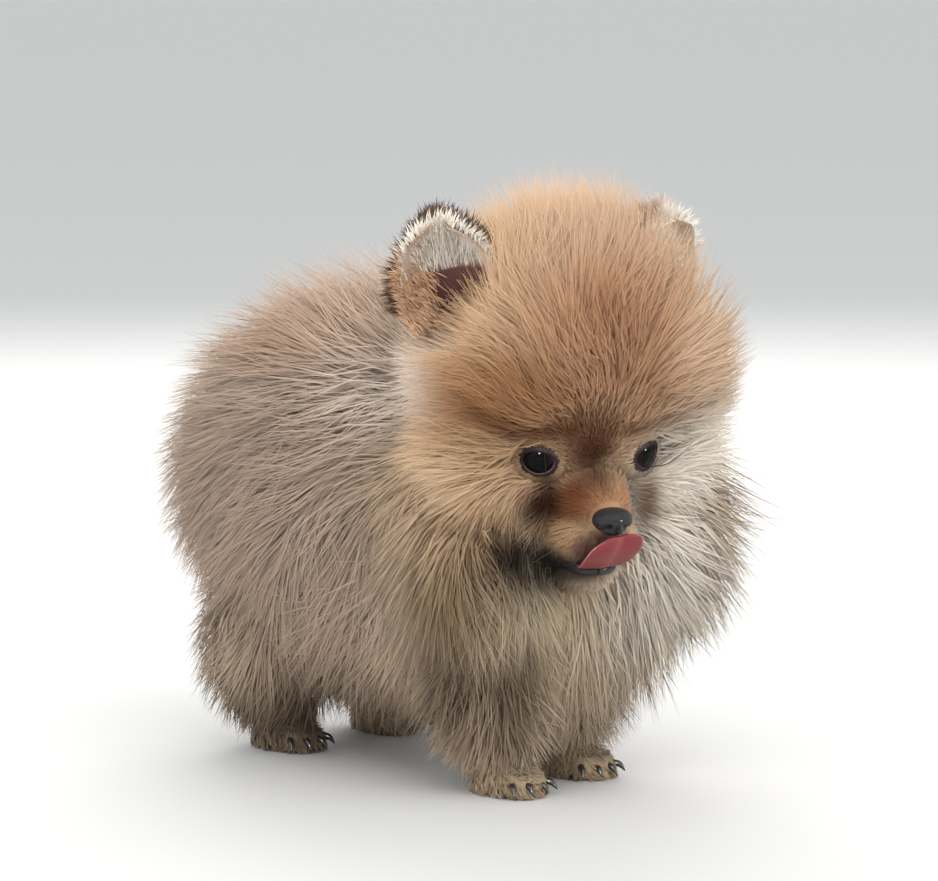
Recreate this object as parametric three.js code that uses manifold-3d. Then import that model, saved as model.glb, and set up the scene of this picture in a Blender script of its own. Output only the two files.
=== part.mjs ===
// A pomeranian puppy that stands on its four feet and licks its nose, a still model at life size.
// Millimetres. The puppy faces -Y, +Z is up, and its own left is +X. The floor is the lowest level.
import * as THREE from 'three';
import { mergeVertices } from 'three/addons/utils/BufferGeometryUtils.js';
import Module from 'manifold-3d';

const wasm = await Module();
wasm.setup();

// Driving sizes of the pose and of the gaps
const GAP = 0.42;
const HEAD_AT = [-8, -77, 104.3];
const HEAD_TURN_DEG = -20;
const HEAD_BOW_DEG = 15;
const PAW_HALF = [10.5, 14, 11];
const PAWS = {
  fore_right: [-18, -50, 0],
  fore_left: [17, -43, 0],
  hind_right: [-21, 50, 0],
  hind_left: [22, 52, 0],
};
const CLAW_LENGTH = 5;
const CLAW_RADIUS = 1.1;
const TOE_ANGLES_DEG = [-33, -11, 11, 33];

// The forms of flesh and of the dense undercoat, as eggs: where each one is and its three half sizes.
// Head sizes are in the head's own frame, which starts between the eyes and is X left, Y back, Z up.
const SKULL = { at: [0, 31, 17], half: [39, 40.5, 36] };
const CHEEK = { at: [22, 19, -8], half: [19, 19.5, 19] };
const BRIDGE = { at: [0, -1, -13], half: [12, 18, 11] };
const FLEW = { at: [7.5, -2, -20.5], half: [7.5, 13.5, 9.5] };
const JAW = { at: [0, 0, -33.2], half: [9.5, 14, 5.2] };
const BARREL = { at: [0, 28, 84], half: [43, 68, 46] };
const CHEST = { at: [0, -20, 62], half: [31, 32, 30] };
const NECK = { at: [3, -46, 84], half: [40, 32, 40] };
const THROAT_GAP = { at: [0, -8, -24], half: [15, 24, 19] };
const TAIL_ROOT = { at: [0, 88, 98], half: [12, 14, 16] };
const TAIL_CURL = { at: [2, 72, 115], half: [14, 24, 12] };

// The same forms out to the tips of the coat
const HEAD_TIPS = { at: [2, 29, 21], half: [55, 53, 56] };
const CHEEK_TIPS = { at: [25, 16, -2], half: [30, 26, 23] };
const BARREL_TIPS = { at: [0, 30, 87], half: [61, 83, 64] };
const WITHERS_TIPS = { at: [-4, -6, 118], half: [46, 46, 44] };
const RUFF_TIPS = { at: [17, -57, 86], half: [74, 51, 60] };
const CHEST_TIPS = { at: [0, -44, 52], half: [46, 42, 44] };
const FACE_SPACE = { at: [0, -22, -8], half: [31, 31, 29] };
const EAR_CLEARING = { at: [0, -11, 17], half: [19, 17, 21] };
const TAIL_TIPS = { at: [1, 76, 109], half: [25, 34, 26] };

// The coat is short on the face: none within the first angle from the muzzle's axis, full past the second.
const FACE_AXIS = new THREE.Vector3(0, -0.935, -0.354);
const FACE_BARE_DEG = 38;
const FACE_FULL_DEG = 60;

// Eyes, nose, mouth and ears, in the head's frame
const EYE_AT = [14.6, 4.4, 0];
const EYE_RADIUS = 7.2;
const LID_THICKNESS = 1.3;
const LID_SLIT = [5.7, 4.6];
const EYE_SPLAY_DEG = 24;
const NOSE_AT = [0, -17.5, -14];
const NOSE_HALF = [6.1, 4.6, 4.7];
const NOSTRIL_HALF = [1.3, 2.6, 1.1];
const NOSTRIL_SPREAD = 2.9;
const MOUTH_LEVEL = -28.6;
const MOUTH_HALF = [9, 15, 1.7];
const EAR_AT = [29, 42, 29];
const EAR_LEAN_DEG = 17;
const EAR_NOD_DEG = -8;
const EAR_TURN_DEG = 26;
const EAR_HALF = [14.5, 6.5, 19];
const EAR_CUP_HALF = [11, 6, 15];
const EAR_CENTRE_UP = 15;
const EAR_TIPS_HALF = [19.5, 11, 23];

const COLOURS = {
  tan: 0xb98a5c,
  cream: 0xd8bf9a,
  grey_tan: 0xa58e74,
  dark_fur: 0x4a3428,
  black_skin: 0x17141a,
  eye: 0x0a0c12,
  tongue: 0xb8535a,
  claw: 0x2c2622,
};

const SIDES = { left: 1, right: -1 };
const add = (a, b) => a.map((value, axis) => value + b[axis]);
const mirrored = (egg) => ({ at: [-egg.at[0], egg.at[1], egg.at[2]], half: egg.half });
const radians = THREE.MathUtils.degToRad;
const BODY_FRAME = new THREE.Matrix4();

// The head's frame within the body's: turned to its right and bowed.
function headFrame() {
  const turn = radians(HEAD_TURN_DEG);
  const bow = radians(HEAD_BOW_DEG);
  const left = new THREE.Vector3(Math.cos(turn), Math.sin(turn), 0);
  const back = new THREE.Vector3(
    -Math.sin(turn) * Math.cos(bow),
    Math.cos(turn) * Math.cos(bow),
    Math.sin(bow),
  );
  const up = new THREE.Vector3().crossVectors(left, back);
  return new THREE.Matrix4().makeBasis(left, back, up).setPosition(...HEAD_AT);
}

const HEAD_FRAME = headFrame();
const inHead = (matrix) => HEAD_FRAME.clone().multiply(matrix);

// A closed geometry becomes a solid that can be joined and cut.
function solidOf(geometry) {
  const bare = geometry.clone();
  bare.deleteAttribute('normal');
  bare.deleteAttribute('uv');
  const merged = mergeVertices(bare, 1e-4);
  return new wasm.Manifold(new wasm.Mesh({
    numProp: 3,
    vertProperties: new Float32Array(merged.attributes.position.array),
    triVerts: new Uint32Array(merged.index.array),
  }));
}

const joined = (solids) => solids.slice(1).reduce((whole, piece) => whole.add(piece), solids[0]);
const cutBy = (solid, cutters) => cutters.reduce((rest, cutter) => rest.subtract(cutter), solid);

// The largest closed surface of a solid: loose scraps that a cut leaves are dropped.
function largest(solid) {
  const bodies = solid.decompose();
  bodies.sort((a, b) => b.volume() - a.volume());
  return bodies[0];
}

// How far the ray from a point runs along a way before it leaves the egg, 0 where it misses it.
function exitDistance(from, way, egg, grow) {
  const p = from.map((value, axis) => (value - egg.at[axis]) / (egg.half[axis] + grow));
  const d = way.map((value, axis) => value / (egg.half[axis] + grow));
  const a = d[0] ** 2 + d[1] ** 2 + d[2] ** 2;
  const b = p[0] * d[0] + p[1] * d[1] + p[2] * d[2];
  const c = p[0] ** 2 + p[1] ** 2 + p[2] ** 2 - 1;
  const inside = b * b - a * c;
  return inside <= 0 ? 0 : Math.max(0, (Math.sqrt(inside) - b) / a);
}

// The reach of several eggs together, blended softly where they meet.
const BLEND = 12;
function reach(from, way, eggs, grow = 0) {
  const total = eggs.reduce((sum, egg) => sum + exitDistance(from, way, egg, grow) ** BLEND, 0);
  return total ** (1 / BLEND);
}

// A faceted ball whose points are moved out from a start, each by the distance of its way.
function ballSolid(from, distance, detail, frame) {
  const ball = new THREE.IcosahedronGeometry(1, detail);
  const points = ball.attributes.position;
  const way = new THREE.Vector3();
  for (let i = 0; i < points.count; i += 1) {
    way.fromBufferAttribute(points, i).normalize();
    const far = distance(way);
    points.setXYZ(i, from[0] + way.x * far, from[1] + way.y * far, from[2] + way.z * far);
  }
  ball.applyMatrix4(frame);
  return solidOf(ball);
}

// One organic form: the blend of its eggs, seen from a start inside them.
function form(from, eggs, detail, grow = 0, frame = BODY_FRAME) {
  return ballSolid(from, (way) => reach(from, way.toArray(), eggs, grow), detail, frame);
}

// An egg placed by a frame of its own, for what leans or turns.
function turnedEgg(half, centre, frame, detail, grow = 0) {
  const egg = { at: centre, half };
  return form(centre, [egg], detail, grow, frame);
}

// Every part that carries a coat: its start, its flesh and undercoat, its tips and its frame
const BODY_COATS = {
  head: {
    from: [0, 20, 0],
    eggs: [SKULL, CHEEK, mirrored(CHEEK), BRIDGE, FLEW, mirrored(FLEW)],
    tips: [HEAD_TIPS, CHEEK_TIPS, mirrored(CHEEK_TIPS)],
    frame: HEAD_FRAME,
    bareFace: true,
    detail: 4,
    spaceDetail: 3,
    locks: { spots: 50, long: 37, wide: 26, thick: 4 },
  },
  tail: {
    from: [1, 80, 108],
    eggs: [TAIL_ROOT, TAIL_CURL],
    tips: [TAIL_TIPS],
    frame: BODY_FRAME,
    lie: [0, 1, -0.5],
    detail: 3,
    spaceDetail: 3,
    locks: { spots: 12, long: 28, wide: 21, thick: 3.6 },
  },
  neck: {
    from: [2, -50, 84],
    eggs: [NECK],
    tips: [RUFF_TIPS, CHEST_TIPS],
    frame: BODY_FRAME,
    lie: [0, 0.4, -0.9],
    detail: 3,
    spaceDetail: 3,
    locks: { spots: 92, long: 35, wide: 25, thick: 4 },
  },
  torso: {
    from: [0, 14, 80],
    eggs: [BARREL, CHEST],
    tips: [BARREL_TIPS, WITHERS_TIPS],
    frame: BODY_FRAME,
    lie: [0, 0.8, -0.55],
    detail: 3,
    spaceDetail: 4,
    locks: { spots: 56, long: 46, wide: 31, thick: 4.8 },
  },
};

function legCoat(paw, hind) {
  const side = Math.sign(paw[0]);
  const thigh = { at: [paw[0] + side * 4, paw[1] + 2, 38], half: [16, 19, 25] };
  const hock = { at: [paw[0], paw[1] + 3, 14], half: [9.5, 11, 13] };
  const thighTips = { at: [paw[0] + side * 5, paw[1], 38], half: [25, 33, 36] };
  const hockTips = { at: [paw[0], paw[1] + 2, 16], half: [18, 21, 15.4] };
  const arm = { at: [paw[0], paw[1] + 8, 29], half: [12.5, 16, 27] };
  const armTips = { at: [paw[0], paw[1] + 9, 30], half: [24, 29, 29.4] };
  return {
    from: [paw[0], paw[1] + 5, 22],
    eggs: hind ? [thigh, hock] : [arm],
    tips: hind ? [thighTips, hockTips] : [armTips],
    frame: BODY_FRAME,
    lie: [0, 0.25, -1],
    detail: 2,
    spaceDetail: 2,
    locks: { spots: 13, long: 24, wide: 19, thick: 3.6 },
  };
}

const legCoats = Object.fromEntries(Object.entries(PAWS).map(
  ([place, paw]) => [`${place.replace('_', 'leg_')}`, legCoat(paw, place.startsWith('hind'))],
));
const COATS = { ...legCoats, ...BODY_COATS };

// How much of the full coat a part has along a way from its start
function fullness(coat, way) {
  if (!coat.bareFace) return 1;
  const angle = THREE.MathUtils.radToDeg(way.angleTo(FACE_AXIS));
  return THREE.MathUtils.smoothstep(angle, FACE_BARE_DEG, FACE_FULL_DEG);
}

function tipDistance(coat, way, grow = 0) {
  const inner = reach(coat.from, way.toArray(), coat.eggs, grow);
  const outer = reach(coat.from, way.toArray(), coat.tips, grow);
  return inner + Math.max(0, outer - inner) * fullness(coat, way);
}

const coreOf = (coat, grow = 0) => form(coat.from, coat.eggs, coat.detail, grow, coat.frame);

function spaceOf(coat, grow = 0) {
  return ballSolid(coat.from, (way) => tipDistance(coat, way, grow), coat.spaceDetail, coat.frame);
}

// The slab under the floor and the two half spaces beside the middle of the body
function block(centre, size) {
  const box = new THREE.BoxGeometry(...size);
  box.translate(...centre);
  return solidOf(box);
}

const FLOOR_SLAB = block([0, 0, -30], [300, 400, 60]);
const MIDLINE = -0.5;
const otherSide = (side) => block([MIDLINE - side * (100 - GAP / 2), 0, 40], [200, 300, 120]);

// A paw: a rounded foot with four toes, flat below, that stands on the floor.
function toeEggs(paw) {
  const [halfX, halfY, halfZ] = PAW_HALF;
  return TOE_ANGLES_DEG.map((angle) => ({
    at: [
      paw[0] + Math.sin(radians(angle)) * halfX * 1.15,
      paw[1] - Math.cos(radians(angle)) * halfY * 0.72,
      2,
    ],
    half: [halfX * 0.3, halfY * 0.42, halfZ * 0.62],
  }));
}

function pawSolid(paw, grow = 0) {
  const pad = { at: [paw[0], paw[1], 1.5], half: PAW_HALF };
  return form(add(paw, [0, -3, 4]), [pad, ...toeEggs(paw)], 2, grow).subtract(FLOOR_SLAB);
}

// A claw: a short cone that leaves the tip of its toe forward and down.
const CLAW_DROP_DEG = 28;
const CLAW_HEIGHT = 3.6;
function clawSolid(paw, angleDeg, grow = 0) {
  const cone = new THREE.ConeGeometry(CLAW_RADIUS + grow, CLAW_LENGTH + 2 * grow, 6);
  cone.rotateX(radians(180 + CLAW_DROP_DEG));
  cone.rotateZ(radians(angleDeg) * 0.8);
  cone.translate(
    paw[0] + Math.sin(radians(angleDeg)) * PAW_HALF[0] * 1.2,
    paw[1] - Math.cos(radians(angleDeg)) * PAW_HALF[1] * 1.16,
    CLAW_HEIGHT,
  );
  return solidOf(cone);
}

// The eyes, and the almond between the lids, which runs out along the eye's gaze
function eyeFrame(side) {
  const frame = new THREE.Matrix4().makeRotationZ(radians(side * EYE_SPLAY_DEG));
  return inHead(frame.setPosition(side * EYE_AT[0], EYE_AT[1], EYE_AT[2]));
}

const eyeSolid = (side, grow = 0) => turnedEgg(
  [EYE_RADIUS, EYE_RADIUS, EYE_RADIUS], [0, 0, 0], eyeFrame(side), 2, grow,
);

function lidSlit(side) {
  const [wide, high] = LID_SLIT;
  const almond = new THREE.Shape();
  almond.moveTo(-wide, 0);
  almond.bezierCurveTo(-wide * 0.7, high * 1.35, wide * 0.7, high * 1.35, wide, 0);
  almond.bezierCurveTo(wide * 0.7, -high * 1.35, -wide * 0.7, -high * 1.35, -wide, 0);
  const bar = new THREE.ExtrudeGeometry(almond, { depth: 30, bevelEnabled: false, curveSegments: 7 });
  bar.rotateX(Math.PI / 2);
  bar.applyMatrix4(eyeFrame(side));
  return solidOf(bar);
}

// The nose leather, broad above, with a nostril on each side
function noseSolid(grow = 0) {
  const eggs = [
    { at: NOSE_AT, half: NOSE_HALF },
    { at: add(NOSE_AT, [0, 3, 1.2]), half: [5, 4.4, 4] },
    { at: add(NOSE_AT, [0, 1.2, -4]), half: [2.6, 3, 3.4] },
  ];
  return form(add(NOSE_AT, [0, 1, 0]), eggs, 2, grow, HEAD_FRAME);
}

function nostril(side) {
  const lean = new THREE.Matrix4().makeRotationY(radians(side * -28));
  const splay = new THREE.Matrix4().makeRotationZ(radians(side * 30)).multiply(lean);
  const spot = add(NOSE_AT, [side * NOSTRIL_SPREAD, -NOSE_HALF[1] * 0.82, -0.6]);
  return turnedEgg(NOSTRIL_HALF, [0, 0, 0], inHead(splay.setPosition(...spot)), 1);
}

// A closed skin over a row of rings that all have the same number of points
function loft(rings, frame) {
  const sides = rings[0].length;
  const faces = [];
  for (let r = 0; r + 1 < rings.length; r += 1) {
    for (let s = 0; s < sides; s += 1) {
      const a = r * sides + s;
      const b = r * sides + ((s + 1) % sides);
      faces.push(a, b, b + sides, a, b + sides, a + sides);
    }
  }
  const last = (rings.length - 1) * sides;
  for (let s = 1; s + 1 < sides; s += 1) {
    faces.push(0, s + 1, s, last, last + s, last + s + 1);
  }
  const geometry = new THREE.BufferGeometry();
  geometry.setAttribute('position', new THREE.Float32BufferAttribute(rings.flat(2), 3));
  geometry.setIndex(faces);
  geometry.applyMatrix4(frame);
  return solidOf(geometry);
}

// The tongue comes out between the lips and curls up over them, towards the puppy's left.
const TONGUE_PATH = [
  { at: [0.5, -3, -28.6], wide: 5.5, lean: 0, rise: 0 },
  { at: [0.5, -12, -28.6], wide: 6.5, lean: 0, rise: 10 },
  { at: [1.0, -17.5, -27.6], wide: 8.4, lean: 8, rise: 50 },
  { at: [2.0, -20.3, -24.6], wide: 9.2, lean: 15, rise: 80 },
  { at: [3.2, -20.8, -21.6], wide: 8.4, lean: 20, rise: 95 },
  { at: [4.0, -20.6, -19.4], wide: 5.2, lean: 22, rise: 100 },
];
const TONGUE_HALF_THICK = 1.0;
const TONGUE_SIDES = 10;
function tongueSolid(grow = 0) {
  const rings = TONGUE_PATH.map(({ at, wide, lean, rise }) => {
    const turn = new THREE.Matrix4().makeRotationY(radians(-lean));
    turn.multiply(new THREE.Matrix4().makeRotationX(radians(-rise)));
    return Array.from({ length: TONGUE_SIDES }, (_, s) => {
      const angle = (s / TONGUE_SIDES) * 2 * Math.PI;
      const across = Math.cos(angle) * (wide + grow);
      const through = Math.sin(angle) * (TONGUE_HALF_THICK + grow);
      return add(new THREE.Vector3(across, 0, through).applyMatrix4(turn).toArray(), at);
    });
  });
  return loft(rings, HEAD_FRAME);
}

// Each ear leans out and back, and its cup faces forward and outward.
function earFrame(side) {
  const frame = new THREE.Matrix4().makeRotationY(radians(side * EAR_LEAN_DEG));
  frame.multiply(new THREE.Matrix4().makeRotationX(radians(EAR_NOD_DEG)));
  frame.multiply(new THREE.Matrix4().makeRotationZ(radians(side * EAR_TURN_DEG)));
  return inHead(frame.setPosition(side * EAR_AT[0], EAR_AT[1], EAR_AT[2]));
}

const earClearing = (side) => turnedEgg(EAR_CLEARING.half, EAR_CLEARING.at, earFrame(side), 1);
const earSpace = (side, grow = 0) => turnedEgg(
  EAR_TIPS_HALF, [0, 1, EAR_CENTRE_UP + 1], earFrame(side), 2, grow,
);

// The fringe: locks that leave the back of the ear all round its rim
const FRINGE_FROM_DEG = -40;
const FRINGE_TO_DEG = 220;
const FRINGE_LOCKS = 7;
function fringeLock(side, turn) {
  const out = new THREE.Vector3(Math.cos(turn), 0, Math.sin(turn));
  const off = new THREE.Vector3(0, 1, 0);
  const across = new THREE.Vector3().crossVectors(out, off);
  const centre = new THREE.Vector3(0, 0, EAR_CENTRE_UP);
  const spot = (share, deep) => centre.clone().addScaledVector(off, deep).add(new THREE.Vector3(
    out.x * EAR_HALF[0] * share, 0, out.z * EAR_HALF[2] * share,
  ));
  const rings = [[0.6, 3.2], [0.9, 4.4], [1.06, 4.4]].map(([share, deep], r) => (
    ring(spot(share, deep), across, off, 13 * LOCK_WIDTHS[r], 2.6 * LOCK_THICKS[r])
  ));
  return blade(rings, spot(draw(1.16, 1.24), 3.4), earFrame(side));
}

function earNode(side) {
  const shell = turnedEgg(EAR_HALF, [0, 0, EAR_CENTRE_UP], earFrame(side), 2);
  const cup = turnedEgg(EAR_CUP_HALF, [0, -5.2, EAR_CENTRE_UP + 1], earFrame(side), 1);
  const step = (FRINGE_TO_DEG - FRINGE_FROM_DEG) / (FRINGE_LOCKS - 1);
  const fringe = Array.from({ length: FRINGE_LOCKS }, (_, i) => (
    fringeLock(side, radians(FRINGE_FROM_DEG + i * step + draw(-4, 4)))
  ));
  return largest(cutBy(joined([shell, ...fringe]), [cup, coreOf(COATS.head, GAP)]));
}

// The parts in the order in which each one's coat gives way to those before it
const ORDER = ['foreleg_right', 'foreleg_left', 'hindleg_right', 'hindleg_left', 'head', 'tail', 'neck', 'torso'];
const isLeg = (name) => name.includes('leg');

// The order in which the flesh of a part is cut by that of others
const CORE_CUTS = {
  head: [],
  torso: ['head'],
  neck: ['head', 'torso'],
  tail: ['torso'],
};

function coreNode(name) {
  const cutters = (CORE_CUTS[name] ?? ['torso', 'neck']).map((other) => coreOf(COATS[other], GAP));
  return cutBy(coreOf(COATS[name]), cutters);
}

// A lock: a blade of three-sided rings that starts sunk in the core and ends in a point.
const LOCK_STEPS = [0, 0.38, 0.72];
const LOCK_WIDTHS = [0.7, 1, 0.82];
const LOCK_THICKS = [1, 1, 0.7];
const LOCK_SUNK = 0.5;
function blade(rings, tip, frame) {
  const faces = [0, 1, 2];
  for (let r = 0; r < 3 * (rings.length - 1); r += 3) {
    for (let s = 0; s < 3; s += 1) {
      const t = (s + 1) % 3;
      faces.push(r + s, r + 3 + s, r + 3 + t, r + s, r + 3 + t, r + t);
    }
  }
  const last = 3 * (rings.length - 1);
  const end = 3 * rings.length;
  faces.push(last, end, last + 1, last + 1, end, last + 2, last + 2, end, last);
  const geometry = new THREE.BufferGeometry();
  const points = [...rings.flat(), tip].flatMap((point) => point.toArray());
  geometry.setAttribute('position', new THREE.Float32BufferAttribute(points, 3));
  geometry.setIndex(faces);
  geometry.applyMatrix4(frame);
  return solidOf(geometry);
}

// Three corners of a lock's ring: both edges, and the ridge that stands off them
function ring(centre, side, off, wide, thick) {
  return [
    centre.clone().addScaledVector(side, -wide / 2).addScaledVector(off, -thick * 0.3),
    centre.clone().addScaledVector(side, wide / 2).addScaledVector(off, -thick * 0.3),
    centre.clone().addScaledVector(off, thick * 0.7),
  ];
}

// A seeded random draw, so that the coat comes out alike each time
let seed = 20;
function draw(low, high) {
  seed = (seed * 16807) % 2147483647;
  return low + (high - low) * (seed / 2147483647);
}

// The way along which the coat lies at a spot: away from the muzzle on the head, else the part's lie
function lieAt(coat, way) {
  const lie = coat.bareFace ? FACE_AXIS.clone().negate() : new THREE.Vector3(...coat.lie);
  return lie.addScaledVector(way, -lie.dot(way)).normalize();
}

// A point over the form: 0 on the core, 1 at the tips, below 0 sunk in
function overForm(coat, way, share) {
  const inner = reach(coat.from, way.toArray(), coat.eggs);
  const outer = tipDistance(coat, way);
  return new THREE.Vector3(...coat.from).addScaledVector(way, inner + (outer - inner) * share);
}

function lockPath(coat, way, lie, arc) {
  return [...LOCK_STEPS, 1].map((step) => {
    const turned = way.clone().multiplyScalar(Math.cos(arc * step));
    turned.addScaledVector(lie, Math.sin(arc * step));
    const share = -LOCK_SUNK + (1 + LOCK_SUNK) * step ** 0.66;
    return { way: turned, at: overForm(coat, turned, share) };
  });
}

// Whether a point lies in the space of another coat
const LOCK_ROOM = 2.4;
function within(point, coat, room) {
  const local = point.clone().applyMatrix4(coat.frame.clone().invert());
  local.sub(new THREE.Vector3(...coat.from));
  const far = local.length();
  return far < tipDistance(coat, local.normalize(), room);
}

function lock(coat, way, before) {
  const { long, wide, thick } = coat.locks;
  const sway = draw(-0.3, 0.3);
  const lie = lieAt(coat, way).applyAxisAngle(way, sway);
  const far = tipDistance(coat, way);
  const width = wide * draw(0.85, 1.15);
  let arc = (long * draw(0.85, 1.15)) / far;
  let path = lockPath(coat, way, lie, arc);
  for (let tries = 0; tries < 3; tries += 1) {
    const ends = path.slice(2).map(({ at }) => at.clone().applyMatrix4(coat.frame));
    if (!before.some((other) => ends.some((end) => within(end, other, LOCK_ROOM)))) {
      const rings = LOCK_STEPS.map((_, r) => {
        const along = path[r + 1].at.clone().sub(path[r].at).normalize();
        const side = new THREE.Vector3().crossVectors(along, path[r].way).normalize();
        const off = new THREE.Vector3().crossVectors(side, along);
        return ring(path[r].at, side, off, width * LOCK_WIDTHS[r], thick * LOCK_THICKS[r]);
      });
      return blade(rings, path[3].at, coat.frame);
    }
    arc *= 0.72;
    path = lockPath(coat, way, lie, arc);
  }
  return null;
}

// Spots spread evenly over a ball, each nudged a little
const GOLDEN_TURN = Math.PI * (3 - Math.sqrt(5));
function spots(count) {
  return Array.from({ length: count }, (_, i) => {
    const z = 1 - (2 * i + 1) / count + draw(-0.4, 0.4) / count;
    const around = i * GOLDEN_TURN + draw(-0.5, 0.5) / Math.sqrt(count);
    const level = Math.sqrt(1 - z * z);
    return new THREE.Vector3(level * Math.cos(around), level * Math.sin(around), z);
  });
}

// All locks of a part, joined, kept in its own space and clear of its neighbours
const LEAST_FULLNESS = 0.04;
function coatNode(name) {
  const coat = COATS[name];
  const before = ORDER.slice(0, ORDER.indexOf(name)).map((other) => COATS[other]);
  const others = ORDER.filter((other) => other !== name).map((other) => COATS[other]);
  const grown = spots(coat.locks.spots).filter((way) => {
    const root = overForm(coat, way, 0).applyMatrix4(coat.frame);
    const covered = others.some((other) => within(root, { ...other, tips: other.eggs }, 0));
    return !covered && fullness(coat, way) > LEAST_FULLNESS;
  }).map((way) => lock(coat, way, before)).filter(Boolean);
  const cutters = before.map((other) => spaceOf(other, LOCK_ROOM + GAP));
  cutters.push(...others.map((other) => coreOf(other, GAP)));
  const ears = Object.values(SIDES).flatMap((side) => [earSpace(side, GAP), earClearing(side)]);
  if (!isLeg(name)) cutters.push(...ears);
  return cutBy(joined(grown), cutters);
}

const jawSolid = (grow = 0) => form([0, 2, -33], [JAW], 2, grow, HEAD_FRAME);
const mouthGap = () => turnedEgg(MOUTH_HALF, [0, -9, MOUTH_LEVEL], HEAD_FRAME, 1);
const throatGap = () => turnedEgg(THROAT_GAP.half, THROAT_GAP.at, HEAD_FRAME, 1);

function headNode() {
  const lids = Object.values(SIDES).map((side) => eyeSolid(side, GAP + LID_THICKNESS));
  const whole = joined([coreNode('head'), ...lids, coatNode('head')]);
  const eyes = Object.values(SIDES).flatMap((side) => [eyeSolid(side, GAP), lidSlit(side)]);
  const mouth = [noseSolid(GAP), jawSolid(GAP), mouthGap(), tongueSolid(GAP)];
  return largest(cutBy(whole, [...eyes, ...mouth]));
}

function legNode(place) {
  const name = place.replace('_', 'leg_');
  const paw = PAWS[place];
  const cutters = [pawSolid(paw, GAP), otherSide(Math.sign(paw[0])), FLOOR_SLAB];
  return largest(cutBy(coreNode(name).add(coatNode(name)), cutters));
}

function meshNode(name, solid, colour, roughness, frame = BODY_FRAME) {
  const found = solid.getMesh();
  const geometry = new THREE.BufferGeometry();
  geometry.setAttribute('position', new THREE.BufferAttribute(found.vertProperties, 3));
  geometry.setIndex(new THREE.BufferAttribute(found.triVerts, 1));
  geometry.applyMatrix4(frame.clone().invert());
  geometry.computeVertexNormals();
  const material = new THREE.MeshStandardMaterial({ color: colour, roughness, metalness: 0 });
  const mesh = new THREE.Mesh(geometry, material);
  mesh.name = name;
  return mesh;
}

// The head and all that sits in it, in a group that carries the head's turn and bow
function headGroup() {
  const group = new THREE.Group();
  const put = (...sizes) => group.add(meshNode(...sizes, HEAD_FRAME));
  put('head', headNode(), COLOURS.tan, 0.9);
  put('lower_jaw', largest(cutBy(jawSolid(), [tongueSolid(GAP), mouthGap()])), COLOURS.black_skin, 0.7);
  put('nose', cutBy(noseSolid(), [nostril(1), nostril(-1), tongueSolid(GAP)]), COLOURS.black_skin, 0.35);
  put('tongue', tongueSolid(), COLOURS.tongue, 0.35);
  Object.entries(SIDES).forEach(([name, side]) => {
    put(`eye_${name}`, eyeSolid(side), COLOURS.eye, 0.08);
    put(`ear_${name}`, earNode(side), COLOURS.dark_fur, 0.9);
  });
  group.applyMatrix4(HEAD_FRAME);
  return group;
}

function bodyGroup() {
  const group = new THREE.Group();
  const put = (...sizes) => group.add(meshNode(...sizes));
  const face = turnedEgg(FACE_SPACE.half, FACE_SPACE.at, HEAD_FRAME, 1);
  const neck = cutBy(coreNode('neck').add(coatNode('neck')), [throatGap(), face, jawSolid(GAP), tongueSolid(GAP)]);
  put('neck', largest(neck), COLOURS.cream, 0.9);
  put('torso', largest(coreNode('torso').add(coatNode('torso'))), COLOURS.grey_tan, 0.9);
  put('tail', largest(coreNode('tail').add(coatNode('tail'))), COLOURS.grey_tan, 0.9);
  return group;
}

function legGroup(place) {
  const group = new THREE.Group();
  const paw = PAWS[place];
  group.add(meshNode(place.replace('_', 'leg_'), legNode(place), COLOURS.grey_tan, 0.9));
  const sockets = TOE_ANGLES_DEG.map((angle) => clawSolid(paw, angle, GAP));
  group.add(meshNode(place.replace('_', 'paw_'), cutBy(pawSolid(paw), sockets), COLOURS.cream, 0.9));
  TOE_ANGLES_DEG.forEach((angle, toe) => {
    group.add(meshNode(`claw_${place}_${toe + 1}`, clawSolid(paw, angle), COLOURS.claw, 0.4));
  });
  return group;
}

const puppy = new THREE.Group();
puppy.add(headGroup(), bodyGroup(), ...Object.keys(PAWS).map(legGroup));

// The origin is under the middle of the whole puppy, on the floor.
const box = new THREE.Box3().setFromObject(puppy, true);
const middle = box.getCenter(new THREE.Vector3());
puppy.position.set(-middle.x, -middle.y, -box.min.z);

export default puppy;
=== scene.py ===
# %% [markdown]
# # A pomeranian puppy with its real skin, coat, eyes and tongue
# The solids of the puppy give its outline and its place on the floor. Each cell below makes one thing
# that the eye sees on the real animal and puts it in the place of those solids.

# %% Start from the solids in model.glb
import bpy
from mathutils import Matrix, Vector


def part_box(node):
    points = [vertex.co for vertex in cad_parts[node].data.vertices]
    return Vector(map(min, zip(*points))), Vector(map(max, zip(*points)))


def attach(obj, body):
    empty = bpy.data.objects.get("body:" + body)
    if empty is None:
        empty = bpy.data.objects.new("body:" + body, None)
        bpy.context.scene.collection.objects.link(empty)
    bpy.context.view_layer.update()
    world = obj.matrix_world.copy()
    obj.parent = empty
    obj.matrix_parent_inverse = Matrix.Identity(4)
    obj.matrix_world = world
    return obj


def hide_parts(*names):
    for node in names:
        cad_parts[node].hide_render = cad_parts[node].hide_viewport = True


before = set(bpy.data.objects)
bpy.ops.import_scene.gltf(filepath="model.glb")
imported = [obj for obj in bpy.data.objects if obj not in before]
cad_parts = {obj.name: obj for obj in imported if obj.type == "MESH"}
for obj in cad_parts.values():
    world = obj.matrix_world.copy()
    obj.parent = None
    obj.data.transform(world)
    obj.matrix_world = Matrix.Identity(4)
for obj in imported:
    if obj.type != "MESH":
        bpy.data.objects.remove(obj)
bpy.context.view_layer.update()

# %% [markdown]
# The puppy was modelled in millimetres, in a frame of its body and one of its head, which is turned to
# its right and bowed. The frame's origin lies under the middle of its box, so the shift between the two
# is read back from one eye, whose place in the head is known. That is surer than a typed number, as it
# stays right when a lock of the solids changes the box.

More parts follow.
